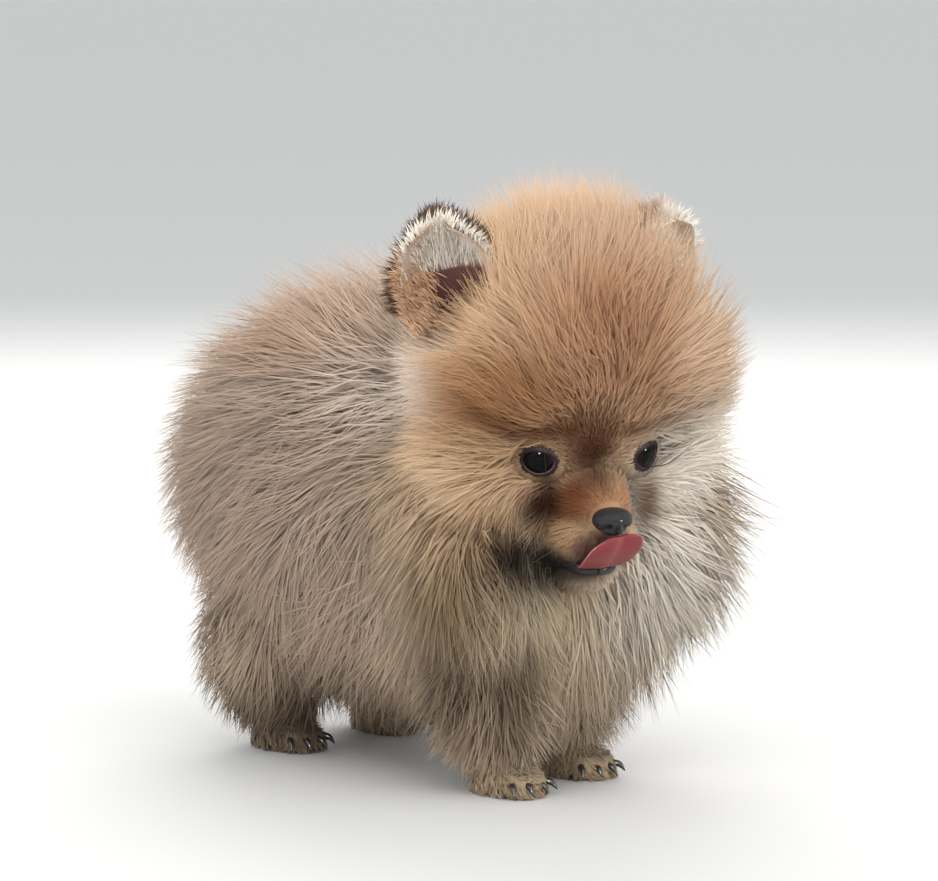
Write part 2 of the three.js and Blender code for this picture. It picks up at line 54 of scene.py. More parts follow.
# %% Places on the body and on the head
import math
import bmesh
import bpy
import numpy as np
from mathutils import Matrix, Vector, kdtree

MM = 0.001
chance = np.random.default_rng(7)

HEAD_AT = np.array([-8.0, -77.0, 104.3])
HEAD_TURN_DEG = -20
HEAD_BOW_DEG = 15
EYE_AT = (14.6, 4.4, 0.0)
BODY = np.eye(4)


def turned(axis, degrees):
    return np.array(Matrix.Rotation(math.radians(degrees), 4, axis))


def moved(place):
    return np.array(Matrix.Translation(Vector(place)))


HEAD = moved(HEAD_AT) @ turned("Z", HEAD_TURN_DEG) @ turned("X", HEAD_BOW_DEG)


def placed(points, spot):
    return np.asarray(points, float) @ spot[:3, :3].T + spot[:3, 3]


def seen_from(points, spot):
    return (np.asarray(points, float) - spot[:3, 3]) @ spot[:3, :3]


low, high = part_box("eye_left")
SHIFT = np.array((low + high) / 2) / MM - placed([EYE_AT], HEAD)[0]
print("shift of the frame in mm", SHIFT.round(2))

# %% [markdown]
# Under the fluff the puppy is small: a round skull, short muzzle, thin neck and legs and a barrel of a
# body. It could be one sculpted mesh or a set of overlapping eggs melted together. The eggs are used,
# as each is one line of place and half sizes in millimetres and the melted skin has no seams.

# %% Flesh under the coat
PAWS = {"fore_right": (-18, -50), "fore_left": (17, -43), "hind_right": (-21, 50), "hind_left": (22, 52)}
TOE_ANGLES_DEG = (-33, -11, 11, 33)


def both(x, y, z, a, b, c):
    return [((x, y, z), (a, b, c)), ((-x, y, z), (a, b, c))]


HEAD_FLESH = [((0, 28, 14), (32, 35, 30)), ((0, -1, -13), (10.5, 16.5, 9.5)), ((0, 0, -34), (8.8, 13, 4.9))]
HEAD_FLESH += both(14.5, 11.5, 0.5, 12.5, 11.5, 12) + both(17.5, 17, -9, 15, 16, 15)
HEAD_FLESH += both(6.4, -2.6, -21.6, 6.6, 13.4, 9)
FLESH = {
    "head": [(HEAD, at, half) for at, half in HEAD_FLESH],
    "neck": [(BODY, (4, -46, 86), (34, 29, 34))],
    "torso": [(BODY, (0, 24, 87), (36, 63, 38)), (BODY, (0, -20, 64), (28, 30, 28))],
    "tail": [(BODY, (0, 84, 98), (7, 14, 10)), (BODY, (2, 74, 112), (6, 18, 6))],
    "legs": [],
    "paws": [],
}
for place, (x, y) in PAWS.items():
    side = math.copysign(1, x)
    if place.startswith("hind"):
        FLESH["legs"].append((BODY, (x + side * 3, y + 4, 38), (12, 15, 22)))
        FLESH["legs"].append((BODY, (x, y + 5, 14), (6.5, 7.5, 13)))
    else:
        FLESH["legs"].append((BODY, (x, y + 7, 28), (8.5, 10, 26)))
        FLESH["legs"].append((BODY, (x, y + 3, 12), (7, 8, 12)))
    FLESH["paws"].append((BODY, (x, y + 1, 4.2), (8.4, 11, 7)))
    for degrees in TOE_ANGLES_DEG:
        turn = math.radians(degrees)
        at = (x + 8.6 * math.sin(turn), y - 9.4 * math.cos(turn), 3.6)
        FLESH["paws"].append((BODY, at, (2.9, 4.6, 4.2)))


def egg_depth(points, eggs):
    depths = []
    for spot, at, half in eggs:
        local = (seen_from(points, spot) - at) / half
        depths.append((np.linalg.norm(local, axis=1) - 1) * min(half))
    return np.min(depths, axis=0)


print("eggs of flesh", sum(len(eggs) for eggs in FLESH.values()))

# %% [markdown]
# Each thing is a mesh with plain materials. A few helpers make a mesh from arrays, give it a finish and
# tell the frame that it rides on the puppy. Colours are written as a paint chip shows them.

# %% Helpers for pieces and finishes
def paint(red, green, blue):
    chip = np.array([red, green, blue]) / 255
    return np.where(chip <= 0.04045, chip / 12.92, ((chip + 0.055) / 1.055) ** 2.4)


def finish(name, colour=(128, 128, 128), rough=0.6, from_mesh=False, coat=0.0, sheen=0.0, shine=0.5):
    made = bpy.data.materials.new(name)
    made.use_nodes = True
    shader = made.node_tree.nodes["Principled BSDF"]
    shader.inputs["Base Color"].default_value = (*paint(*colour), 1)
    shader.inputs["Roughness"].default_value = rough
    shader.inputs["Coat Weight"].default_value = coat
    shader.inputs["Coat Roughness"].default_value = 0.05
    shader.inputs["Sheen Weight"].default_value = sheen
    shader.inputs["Specular IOR Level"].default_value = shine
    if from_mesh:
        source = made.node_tree.nodes.new("ShaderNodeVertexColor")
        source.layer_name = "Colour"
        made.node_tree.links.new(source.outputs["Color"], shader.inputs["Base Color"])
    return made


def roughen(made, scale, depth, kind="ShaderNodeTexNoise"):
    tree = made.node_tree
    grain = tree.nodes.new(kind)
    grain.inputs["Scale"].default_value = scale
    bump = tree.nodes.new("ShaderNodeBump")
    bump.inputs["Distance"].default_value = depth
    out = "Fac" if kind == "ShaderNodeTexNoise" else "Distance"
    tree.links.new(grain.outputs[out], bump.inputs["Height"])
    tree.links.new(bump.outputs["Normal"], tree.nodes["Principled BSDF"].inputs["Normal"])
    return made


def piece(name, points, faces, made, colours=None):
    mesh = bpy.data.meshes.new(name)
    mesh.from_pydata(((np.asarray(points) + SHIFT) * MM).tolist(), [], faces)
    mesh.polygons.foreach_set("use_smooth", [True] * len(mesh.polygons))
    if colours is not None:
        paint_points(mesh, colours)
    return settle(name, mesh, made)


def unpacked(form):
    points = np.array([list(v.co) for v in form.verts])
    faces = [[v.index for v in f.verts] for f in form.faces]
    form.free()
    return points, faces


def paint_points(mesh, colours):
    layer = mesh.color_attributes.new("Colour", "FLOAT_COLOR", "POINT")
    flat = np.ones((len(mesh.vertices), 4))
    flat[:, :3] = colours
    layer.data.foreach_set("color", flat.ravel())


def settle(name, mesh, made):
    thing = bpy.data.objects.new(name, mesh)
    bpy.context.collection.objects.link(thing)
    mesh.materials.append(made)
    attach(thing, "root")
    return thing


print("tan fur in linear light", paint(205, 168, 132).round(2))

# %% [markdown]
# The puppy's markings are soft: an orange-tan crown and forehead, rust brown down the middle of the
# face, a black lower lip, cream cheeks and ruff and a greyish tan back. The same list also holds painted
# shade: thin dark lines under the brows, a dark wedge on the near foreleg, the near hind leg and the
# underside of the belly. They could be painted on or be a list of soft patches, each with its place, size
# and colour. The list is used, as coat and skin can both ask it for the colour at any point. Most are
# placed in the frame of the head or the body. Those near the mouth are placed in a frame turned to the
# puppy's right front, from where it is looked at.

# %% Markings and painted shade
GROUND = {
    "head": paint(205, 168, 132), "neck": paint(205, 182, 154), "torso": paint(182, 158, 138),
    "tail": paint(190, 164, 140), "legs": paint(178, 156, 134), "paws": paint(170, 148, 118),
}
FACING = HEAD @ np.array([
    [0.927, 0.371, 0.049, 0],
    [-0.362, 0.854, 0.374, 0],
    [0.097, -0.364, 0.926, 0],
    [0, 0, 0, 1.0],
])
BLEND_OVER = 3.5
MARK_FALL = 0.7
MARKINGS_AND_PAINTED_SHADE = [
    (HEAD, (0, 10, 68), (30, 26, 22), (206, 170, 140), 0.8),
    (HEAD, (0, -16, 48), (34, 26, 26), (182, 134, 100), 0.9),
    (HEAD, (-4, -14, 54), (9, 14, 8), (150, 98, 66), 0.6),
    (HEAD, (-32, -8, 24), (20, 20, 12), (162, 112, 72), 0.85),
    (HEAD, (24, -20, 24), (16, 16, 10), (190, 146, 108), 0.7),
    (HEAD, (-46, 2, 16), (16, 22, 14), (176, 128, 88), 0.8),
    (HEAD, (34, -14, 36), (16, 24, 24), (228, 192, 160), 0.8),
    (HEAD, (-44, 0, -6), (18, 22, 14), (206, 166, 124), 0.8),
    (HEAD, (-42, -6, -24), (18, 22, 9), (156, 120, 82), 0.8),
    (HEAD, (30, -12, -8), (16, 24, 22), (226, 206, 182), 0.95),
    (HEAD, (-6, -8, 12), (10, 12, 10), (112, 70, 46), 0.9),
    (HEAD, (-2, -12, 2), (7, 12, 9), (84, 44, 24), 0.95),
    (HEAD, (-21, -5, -9), (8, 9, 4.5), (196, 158, 126), 0.9),
    (HEAD, (21, -3, -6), (6, 9, 6), (206, 172, 140), 0.9),
    (HEAD, (-14.5, -5, -15), (8.5, 11, 6.5), (58, 28, 14), 1.0),
    (HEAD, (-8, -10, -10), (8, 9, 5.5), (118, 70, 42), 0.9),
    (HEAD, (-12, -10, -20), (6, 8, 4), (190, 148, 106), 0.85),
    (HEAD, (-7, -15, -22.5), (3.6, 5, 4), (112, 78, 74), 0.9),
    (HEAD, (8, -12, -10), (5, 8, 8), (176, 122, 82), 0.85),
    (HEAD, (13, -6, -14), (4, 9, 9), (60, 38, 26), 0.9),
    (HEAD, (19, -8, -18), (4, 10, 9), (74, 50, 34), 0.8),
    (HEAD, (-18, -4, -34), (17, 22, 8), (22, 13, 9), 1.0),
    (HEAD, (-26, 4, -31), (9, 14, 6), (34, 21, 13), 0.9),
    # The next seven thin dark brown lines over the eyes are painted shade under the overhanging brow fur.
    (HEAD, (-15, -9, 13), (7, 12, 3), (104, 62, 36), 0.8),
    (HEAD, (-23, -3, 10), (8, 13, 2.8), (100, 58, 32), 0.85),
    (HEAD, (-33, -1, 13), (8, 13, 2.8), (112, 70, 40), 0.8),
    (HEAD, (-41, 2, 17), (7, 13, 3), (124, 80, 48), 0.7),
    (HEAD, (9, -12, 12), (6, 12, 3), (118, 78, 50), 0.8),
    (HEAD, (21, -14, 13.5), (8, 12, 3), (136, 92, 60), 0.8),
    (HEAD, (32, -14, 19), (8, 12, 3), (160, 116, 82), 0.7),
    (HEAD, (0, -6, -30), (12, 12, 4), (20, 13, 11), 0.9),
    (HEAD, (0, -13, -38), (10, 5, 3), (150, 130, 108), 0.7),
    (BODY, (-46, -20, 126), (22, 24, 18), (236, 218, 202), 0.85),
    (BODY, (-52, -44, 92), (20, 26, 20), (222, 190, 154), 0.8),
    (BODY, (-46, -56, 56), (20, 20, 18), (142, 118, 88), 0.85),
    (BODY, (30, -94, 92), (24, 26, 26), (246, 234, 218), 0.95),
    (BODY, (20, -88, 54), (26, 24, 28), (238, 228, 214), 0.85),
    (BODY, (-22, -80, 46), (22, 22, 18), (216, 196, 166), 0.8),
    # Painted shade on the front of the near foreleg.
    (BODY, (-26, -64, 30), (9, 18, 20), (108, 88, 70), 0.9),
    (BODY, (-44, -25, 22), (13, 14, 18), (194, 172, 144), 0.8),
    # Painted shade on the outer side of the near foreleg.
    (BODY, (-38, -44, 32), (10, 14, 20), (96, 78, 62), 0.8),
    (BODY, (-36, 40, 140), (34, 60, 16), (172, 140, 116), 0.8),
    (BODY, (-58, 36, 80), (26, 60, 34), (172, 150, 134), 0.7),
    (BODY, (-40, -4, 144), (20, 22, 14), (212, 186, 164), 0.7),
    # Painted shade: this line darkens the near hind leg, the next one the underside of the belly.
    (BODY, (-34, 44, 8), (24, 34, 12), (96, 84, 68), 0.75),
    (BODY, (-10, 10, 16), (40, 34, 20), (110, 94, 76), 0.7),
    (FACING, (-24, -18, -29), (8, 22, 5.2), (20, 12, 8), 1.0),
    (FACING, (-15, -20, -32.5), (11, 24, 6.2), (18, 11, 8), 1.0),
    (FACING, (-3, -18, -35), (9, 18, 4.2), (22, 14, 10), 1.0),
    (FACING, (0, -16, -40.5), (8, 10, 1.6), (150, 136, 120), 0.6),
    (FACING, (-13.5, -10, -12), (4.2, 9, 9), (64, 33, 17), 0.95),
    (FACING, (-6, -14, -8), (5, 9, 7), (104, 48, 22), 0.85),
    (FACING, (12, 20, 76), (7, 40, 5), (146, 116, 98), 0.7),
    (FACING, (5, -18, -11), (7, 9, 7), (160, 108, 68), 0.8),
    (FACING, (17.5, 4, -14), (3.6, 22, 9), (112, 78, 54), 0.9),
    (FACING, (-9, -14, -22), (6, 8, 4), (172, 140, 106), 0.85),
    (FACING, (-3, -16, -25.5), (3.5, 6, 3), (96, 66, 62), 0.9),
]


def flesh_share(points):
    depths = np.array([egg_depth(points, eggs) for eggs in FLESH.values()])
    share = np.exp(-(depths - depths.min(axis=0)) / BLEND_OVER)
    return share / share.sum(axis=0)


def colour_at(points, share):
    colours = share.T @ np.array(list(GROUND.values()))
    for spot, at, half, chip, strength in MARKINGS_AND_PAINTED_SHADE:
        local = (seen_from(points, spot) - at) / half
        weight = strength * np.exp(-MARK_FALL * np.sum(local ** 2, axis=1) ** 2)
        colours += (paint(*chip) - colours) * weight[:, None]
    return colours


print("marks", len(MARKINGS_AND_PAINTED_SHADE))

# %% [markdown]
# Skin: one closed surface over all the eggs. They could be joined by a Boolean union, which leaves a
# crease where two eggs meet. They are remeshed on a fine grid and relaxed, so that muzzle, cheeks and
# toes flow into each other.

# %% Skin
SKIN_GRID = 1.2
SKIN_RELAX = 4
EGG_FINENESS = 4


def melted_skin():
    form = bmesh.new()
    for eggs in FLESH.values():
        for spot, at, half in eggs:
            placing = Matrix(spot @ moved(at)) @ Matrix.Diagonal((*half, 1))
            bmesh.ops.create_icosphere(form, subdivisions=EGG_FINENESS, radius=1, matrix=placing)
    mesh = bpy.data.meshes.new("skin_form")
    form.to_mesh(mesh)
    form.free()
    thing = bpy.data.objects.new("skin_form", mesh)
    bpy.context.collection.objects.link(thing)
    remesh = thing.modifiers.new("melt", "REMESH")
    remesh.mode = "VOXEL"
    remesh.voxel_size = SKIN_GRID
    relax = thing.modifiers.new("relax", "SMOOTH")
    relax.iterations = SKIN_RELAX
    shown = thing.evaluated_get(bpy.context.evaluated_depsgraph_get())
    melted = bpy.data.meshes.new_from_object(shown)
    bpy.data.objects.remove(thing)
    bpy.data.meshes.remove(mesh)
    return melted


skin_mesh = melted_skin()
skin_points = np.zeros(len(skin_mesh.vertices) * 3)
skin_mesh.vertices.foreach_get("co", skin_points)
skin_points = skin_points.reshape(-1, 3)
print("skin points", len(skin_points))

# %% [markdown]
# Sockets and soles: the skin is pushed in round each eyeball, as a real eye sits in the skull and not on
# it, and pressed flat under the paws, which carry the weight. Both could be sculpted by hand. Moving
# the points by a rule keeps them right when an eye or a paw is moved. The eyes look a little outward.

# %% Sockets and soles
EYE_RADIUS = 7.2
EYE_SPLAY_DEG = 30
EYES = {
    name: HEAD @ moved((side * EYE_AT[0], EYE_AT[1], EYE_AT[2])) @ turned("Z", side * EYE_SPLAY_DEG)
    for name, side in (("eye_left", 1), ("eye_right", -1))
}
SOCKET_INNER_DEG = 38
SOCKET_OUTER_DEG = 62
SOCKET_REACH = 16
SOCKET_RADIUS = EYE_RADIUS - 1.4
SOLE_LEVEL = 0.3
SKIN_SHADE = 0.9
DARK_ROUND_EYE = (7.5, 10)


def smooth_step(value, start, end):
    part = np.clip((value - start) / (end - start), 0, 1)
    return part * part * (3 - 2 * part)


for spot in EYES.values():
    local = seen_from(skin_points, spot)
    far = np.linalg.norm(local, axis=1)
    angle = np.degrees(np.arccos(np.clip(-local[:, 1] / np.maximum(far, 1e-6), -1, 1)))
    keep = smooth_step(angle, SOCKET_INNER_DEG, SOCKET_OUTER_DEG)
    target = np.where(far < SOCKET_REACH, SOCKET_RADIUS + (far - SOCKET_RADIUS) * keep, far)
    skin_points = placed(local * (np.minimum(target, far) / np.maximum(far, 1e-6))[:, None], spot)
skin_points[:, 2] = np.maximum(skin_points[:, 2], SOLE_LEVEL)
skin_mesh.vertices.foreach_set("co", ((skin_points + SHIFT) * MM).ravel())
skin_mesh.polygons.foreach_set("use_smooth", [True] * len(skin_mesh.polygons))
skin_mesh.update()
skin_colours = colour_at(skin_points, flesh_share(skin_points)) * SKIN_SHADE
for spot in EYES.values():
    near_eye = 1 - smooth_step(np.linalg.norm(skin_points - spot[:3, 3], axis=1), *DARK_ROUND_EYE)
    skin_colours += (paint(60, 40, 32) - skin_colours) * near_eye[:, None]
paint_points(skin_mesh, skin_colours)
skin_finish = finish("skin_and_underfur", from_mesh=True, rough=0.9, shine=0.1)
skin = settle("skin", skin_mesh, skin_finish)
print("eyes sit at", {name: spot[:3, 3].round(1).tolist() for name, spot in EYES.items()})

# %% [markdown]
# The coat stands off the skin to an outline of its own: a globe round the head, a mane round the neck,
# a barrel round the body. The length of each tuft is found by asking how far it can go in its direction
# before it leaves that outline, so the fluff ends where the photograph shows its edge. On the face it
# is only a few millimetres long.

# %% Outline of the coat
OUTLINE = {
    "head": [
        (HEAD, (2, 29, 21), (55, 53, 56)),
        (HEAD, (25, 16, -2), (30, 26, 23)),
        (HEAD, (-25, 16, -2), (30, 26, 23)),
    ],
    "neck": [
        (BODY, (16, -57, 90), (73, 50, 61)),
        (BODY, (-12, -50, 84), (56, 48, 60)),
        (BODY, (2, -46, 52), (48, 42, 45)),
    ],
    "torso": [
        (BODY, (0, 28, 89), (63, 84, 73)),
        (BODY, (-6, 4, 120), (52, 54, 50)),
        (BODY, (0, 10, 52), (52, 72, 42)),
    ],
    "tail": [(BODY, (1, 76, 109), (25, 34, 26))],
    "legs": [],
    "paws": [],
}
for place, (x, y) in PAWS.items():
    side = math.copysign(1, x)
    if place.startswith("hind"):
        OUTLINE["legs"].append((BODY, (x + side * 5, y, 38), (25, 34, 37)))
        OUTLINE["legs"].append((BODY, (x, y + 2, 16), (19, 22, 15.6)))
    else:
        OUTLINE["legs"].append((BODY, (x, y + 6, 33), (27, 32, 32.6)))
    OUTLINE["paws"].append((BODY, (x, y - 1.3, 1), (10.4, 14.3, 11.4)))
SHORTEST = {"head": 2.6, "neck": 8, "torso": 10, "tail": 8, "legs": 5, "paws": 1.6}
LONGEST = 48
SIDE_LIMIT = -62.5
FACE_AXIS = np.array([0, -0.935, -0.354])
FACE_BARE_DEG = 34
FACE_FULL_DEG = 66
FACE_CENTRE = np.array([0, 20, 0])
FACE_EXTRA = 3.5
FACE_EXTRA_OVER = (12, 40)
NOSE_AT = np.array([0.6, -17.8, -13.2])


def exit_distance(points, ways, egg):
    spot, at, half = egg
    start = (seen_from(points, spot) - at) / half
    way = (ways @ spot[:3, :3]) / half
    a = np.sum(way ** 2, axis=1)
    b = 2 * np.sum(way * start, axis=1)
    c = np.sum(start ** 2, axis=1) - 1
    root = np.sqrt(np.maximum(b * b - 4 * a * c, 0))
    return np.where(c < 0, (-b + root) / (2 * a), 0)


def normed(ways):
    return ways / np.maximum(np.linalg.norm(ways, axis=-1, keepdims=True), 1e-9)


def fullness(points):
    local = normed(seen_from(points, HEAD) - FACE_CENTRE)
    angle = np.degrees(np.arccos(np.clip(local @ FACE_AXIS, -1, 1)))
    return smooth_step(angle, FACE_BARE_DEG, FACE_FULL_DEG)


def coat_room(points, ways, share):
    room = np.zeros(len(points))
    for part, name in zip(share, FLESH):
        reach = np.max([exit_distance(points, ways, egg) for egg in OUTLINE[name]], axis=0)
        room += part * np.maximum(reach, SHORTEST[name])
    face = share[0] * (1 - fullness(points))
    from_nose = np.linalg.norm(seen_from(points, HEAD) - NOSE_AT, axis=1)
    short = SHORTEST["head"] + FACE_EXTRA * smooth_step(from_nose, *FACE_EXTRA_OVER)
    return np.minimum(room * (1 - face) + short * face, LONGEST)


print("eggs of the outline", sum(len(eggs) for eggs in OUTLINE.values()))

# %% [markdown]
# The lie of the coat: on a puppy the hair runs back from the nose over the face, down the neck and legs
# and back along the body, and it stands up more where it is long. It could be combed by hand. A rule
# for each part, blended as the parts blend, is shorter, and slow waves keep it from looking combed.

# %% Lie of the coat
LIE = {
    "head": (0, 0.5, -0.2), "neck": (0, 0.25, -1), "torso": (0, 0.8, -0.55), "tail": (0, 0.9, -0.4),
    "legs": (0, 0.25, -1), "paws": (0, -0.8, -0.6),
}
RAISE_DEG = {"head": 46, "neck": 46, "torso": 42, "tail": 46, "legs": 46, "paws": 24}
MUZZLE_RAISE_DEG = 16
CHEEK_SWEEP = np.array([0, 0.2, -0.25])
WAVES = ((16, 0.22), (9, 0.14))
CALM_FACE = 0.7


def across(ways, normals):
    return normed(ways - normals * np.sum(ways * normals, axis=1)[:, None])


def lie_at(points, normals, share):
    lie = share.T @ np.array([LIE[name] for name in FLESH])
    local = seen_from(points, HEAD)
    outward = normed(local - NOSE_AT) + CHEEK_SWEEP * smooth_step(-local[:, 2], -20, 20)[:, None]
    lie += share[0][:, None] * (outward @ HEAD[:3, :3].T - np.array(LIE["head"]))
    calm = (1 - CALM_FACE * share[0] * (1 - fullness(points)))[:, None]
    for step, (wave, size) in enumerate(WAVES):
        swirl = np.sin(points[:, [1, 2, 0]] / wave + step) + np.cos(points[:, [2, 0, 1]] / wave * 1.3)
        lie += size * swirl * calm
    return across(lie, normals)


def coat_ways(points, normals, share, droop):
    raised = np.radians(share.T @ np.array([RAISE_DEG[name] for name in FLESH]))
    face = share[0] * (1 - fullness(points))
    raised = raised * (1 - face) + math.radians(MUZZLE_RAISE_DEG) * face
    lie = lie_at(points, normals, share)
    ways = normals * np.sin(raised)[:, None] + lie * np.cos(raised)[:, None]
    return ways + np.array([0, 0, -droop]) * (1 - face)[:, None]


print("the hair stands up by degrees", RAISE_DEG)

# %% [markdown]
# A tuft is a few hundred hairs that cling together. Its root is a little under the skin, and it leans
# towards a neighbour that leads it, which gives the soft clumps of a puppy's fluff. On the side that
# the coat would leave the box of the solids, its tips are eased back.

# %% How a tuft grows
LENGTH_SPREAD = (0.78, 1.12)
LEAST_RISE = 0.12
ROOT_SUNK = 0.5
ARCH = 0.1
KEEP_APART = 0.35
KEEP_APART_LOW = 0.8
EASED_BACK = 0.8
CURL_WAVES = np.array([[0.21, 0.13, 0.17], [-0.11, 0.29, 0.23]])


def nearest_guide(points, guides):
    tree = kdtree.KDTree(guides)
    for i in range(guides):
        tree.insert(points[i], i)
    tree.balance()
    return np.array([tree.find(point)[1] for point in points])


def growing(points, normals, guides, wide, share=None, ways=None, length=None,
            droop=0.2, jitter=0.2, pull=0.5, curl=0.1):
    count = len(points)
    share = flesh_share(points) if share is None else share
    ways = coat_ways(points, normals, share, droop) if ways is None else ways
    ways = normed(normed(ways) + chance.normal(0, jitter, (count, 3)))
    rise = np.sum(ways * normals, axis=1)
    ways = normed(ways + normals * np.maximum(LEAST_RISE - rise, 0)[:, None])
    reach = coat_room(points, ways, share) if length is None else length
    reach = reach * chance.uniform(*LENGTH_SPREAD, count)
    wave = np.sin(points @ CURL_WAVES[0]) + np.sin(points @ CURL_WAVES[1] + 2)
    bent = normed(np.cross(normals, ways)) * (reach * wave * curl)[:, None]
    tips = points + ways * reach[:, None] + bent
    middles = points + ways * (reach * 0.5)[:, None] + normals * (reach * ARCH)[:, None] - bent * 0.35
    near = nearest_guide(points, guides)
    pulled = chance.uniform(0.2, 1, count)[:, None] * pull
    wanted = points[near] + ways[near] * reach[:, None] + (points - points[near]) * KEEP_APART
    tips += (wanted - tips) * pulled
    past = np.maximum(SIDE_LIMIT - tips[:, 0], 0) * EASED_BACK
    tips[:, 0] += past
    middles[:, 0] += past * EASED_BACK / 2
    wanted = points[near] + ways[near] * (reach * 0.5)[:, None] + (points - points[near]) * KEEP_APART_LOW
    middles += (wanted - middles) * pulled * 0.6
    return {
        "root": points - normals * ROOT_SUNK, "middle": middles, "tip": tips,
        "normal": normals, "wide": wide, "share": share,
    }


def shortened(tufts, scale):
    for end in ("middle", "tip"):
        tufts[end] = tufts["root"] + (tufts[end] - tufts["root"]) * scale[:, None]


print("tips past x", SIDE_LIMIT, "mm are eased back by", EASED_BACK)

# %% [markdown]
# Hair could be particles or curves, but both are lost in the export. So every tuft is a thin solid
# blade of seven points, three at the root, three at the bend and a tip, and all of one region are one
# piece. Its shading follows the skin, which gives the soft look, and its patch in the UV map lies where
# its root is on an unwrap of the body.

# %% Blades of hair
RINGS = (("root", 0.75), ("middle", 1.0))
BLADE_CORNERS = ((-1, -0.25), (1, -0.25), (0, 0.5))
BLADE_FACES = [[2, 1, 0], [0, 1, 4, 3], [1, 2, 5, 4], [2, 0, 3, 5], [3, 4, 6], [4, 5, 6], [5, 3, 6]]
BLADE_POINTS = 7
BLADE_SHADE = np.array([0.9, 0.9, 0.9, 0.99, 0.99, 0.99, 1.04])
RING_OF_POINT = [0, 0, 0, 1, 1, 1, 2]
PATCH = np.array([[-1, -1], [1, -1], [0, -1], [-1, 0.4], [1, 0.4], [0, 0.4], [0, 1]]) * 0.0014
FLOOR_GAP = 0.15
SKIN_SHARE_OF_NORMAL = 0.8
TWIST = 0.35


def blade_points(tufts, sides, offs):
    points = np.zeros((len(tufts["root"]), BLADE_POINTS, 3))
    for ring, (place, size) in enumerate(RINGS):
        spread = (tufts["wide"] * size / 2)[:, None]
        for corner, (a, b) in enumerate(BLADE_CORNERS):
            points[:, ring * 3 + corner] = tufts[place] + sides * spread * a + offs * spread * b
    points[:, 6] = tufts["tip"]
    points[:, :, 2] = np.maximum(points[:, :, 2], FLOOR_GAP)
    return points


def blades(name, tufts, colours, made, chart):
    count = len(tufts["root"])
    along = normed(tufts["tip"] - tufts["root"])
    sides = normed(np.cross(along, tufts["normal"]) + chance.normal(0, TWIST, (count, 3)))
    sides = across(sides, along)
    points = blade_points(tufts, sides, np.cross(along, sides))
    form = np.concatenate(BLADE_FACES)
    sizes = np.array([len(face) for face in BLADE_FACES])
    corners = (form[None, :] + BLADE_POINTS * np.arange(count)[:, None]).ravel()
    first_corners = np.concatenate([[0], np.cumsum(sizes)[:-1]])
    starts = (first_corners[None, :] + len(form) * np.arange(count)[:, None]).ravel()
    mesh = bpy.data.meshes.new(name)
    mesh.vertices.add(count * BLADE_POINTS)
    mesh.vertices.foreach_set("co", ((points + SHIFT) * MM).ravel())
    mesh.loops.add(len(corners))
    mesh.loops.foreach_set("vertex_index", corners)
    mesh.polygons.add(len(starts))
    mesh.polygons.foreach_set("loop_start", starts)
    mesh.polygons.foreach_set("use_smooth", np.ones(len(starts), bool))
    mesh.update(calc_edges=True)
    round_off = normed(points - (tufts["root"] * 0.5 + tufts["tip"] * 0.5)[:, None])
    facing_out = normed(tufts["normal"][:, None] * SKIN_SHARE_OF_NORMAL + round_off * 0.3)
    mesh.normals_split_custom_set_from_vertices(facing_out.reshape(-1, 3).tolist())
    if colours.ndim == 2:
        colours = np.repeat(colours[:, None, :], 3, axis=1)
    shown = colours[:, RING_OF_POINT] * BLADE_SHADE[None, :, None]
    paint_points(mesh, np.clip(shown, 0, 0.95).reshape(-1, 3))
    sheet = mesh.uv_layers.new(name="OFBake")
    spread = (chart[:, None, :] + PATCH[None, :, :]).reshape(-1, 2)[corners]
    sheet.data.foreach_set("uv", spread.ravel())
    return settle(name, mesh, made)


def ring_colours_at(tufts):
    low = tufts["root"] * 0.5 + tufts["middle"] * 0.5
    return np.stack([colour_at(place, tufts["share"]) for place in (low, tufts["middle"], tufts["tip"])], 1)


def lit(colours, low=0.92, high=1.08):
    return colours * chance.uniform(low, high, len(colours))[:, None, None]


coat_finish = finish("coat", from_mesh=True, rough=0.7, sheen=0.05, shine=0.1)
print("triangles in a tuft", sum(len(face) - 2 for face in BLADE_FACES))

# %% [markdown]
# The coat is sorted into pieces as a groomer names them. None grows on the eyes, nose or soles. The
# near side and the face have more and finer tufts, as they are looked at from close by.

# %% Regions of the coat
skin_mesh.calc_loop_triangles()
corners = np.zeros(len(skin_mesh.loop_triangles) * 3, int)
skin_mesh.loop_triangles.foreach_get("vertices", corners)
corners = corners.reshape(-1, 3)
first, second, third = (skin_points[corners[:, k]] for k in range(3))
facing = np.cross(second - first, third - first)
areas = np.linalg.norm(facing, axis=1) / 2
facing = normed(facing)
middles = (first + second + third) / 3
middle_share = flesh_share(middles)
middle_head = seen_from(middles, HEAD)
is_head = (middle_share[0] > 0.5)
is_face = is_head & (fullness(middles) < 0.45)
is_low = (middle_share[4] + middle_share[5] > 0.5) | (middle_share[3] > 0.5)
is_ruff = (middle_share[1] > 0.45) & ~is_head & ~is_low
is_ruff |= (~is_head & ~is_low & (middles[:, 1] < -22))
is_body = ~is_head & ~is_low & ~is_ruff
right_head = middle_head[:, 0] < 0
right_body = middles[:, 0] < 0
REGIONS = {
    "coat_face": (is_face, 19800, 0.24),
    "coat_crown_right": (is_head & ~is_face & right_head, 19800, 0.29),
    "coat_crown_left": (is_head & ~is_face & ~right_head, 13500, 0.38),
    "coat_ruff_right": (is_ruff & right_body, 19800, 0.4),
    "coat_ruff_left": (is_ruff & ~right_body, 12500, 0.48),
    "coat_body_right": (is_body & right_body, 18000, 0.46),
    "coat_body_left": (is_body & ~right_body, 10500, 0.6),
    "coat_legs_and_tail": (is_low, 16500, 0.44),
}
EYE_BARE = 9.6
NOSE_BARE = np.array([6.4, 5.5, 5.2])
SOLE_BARE = 0.9
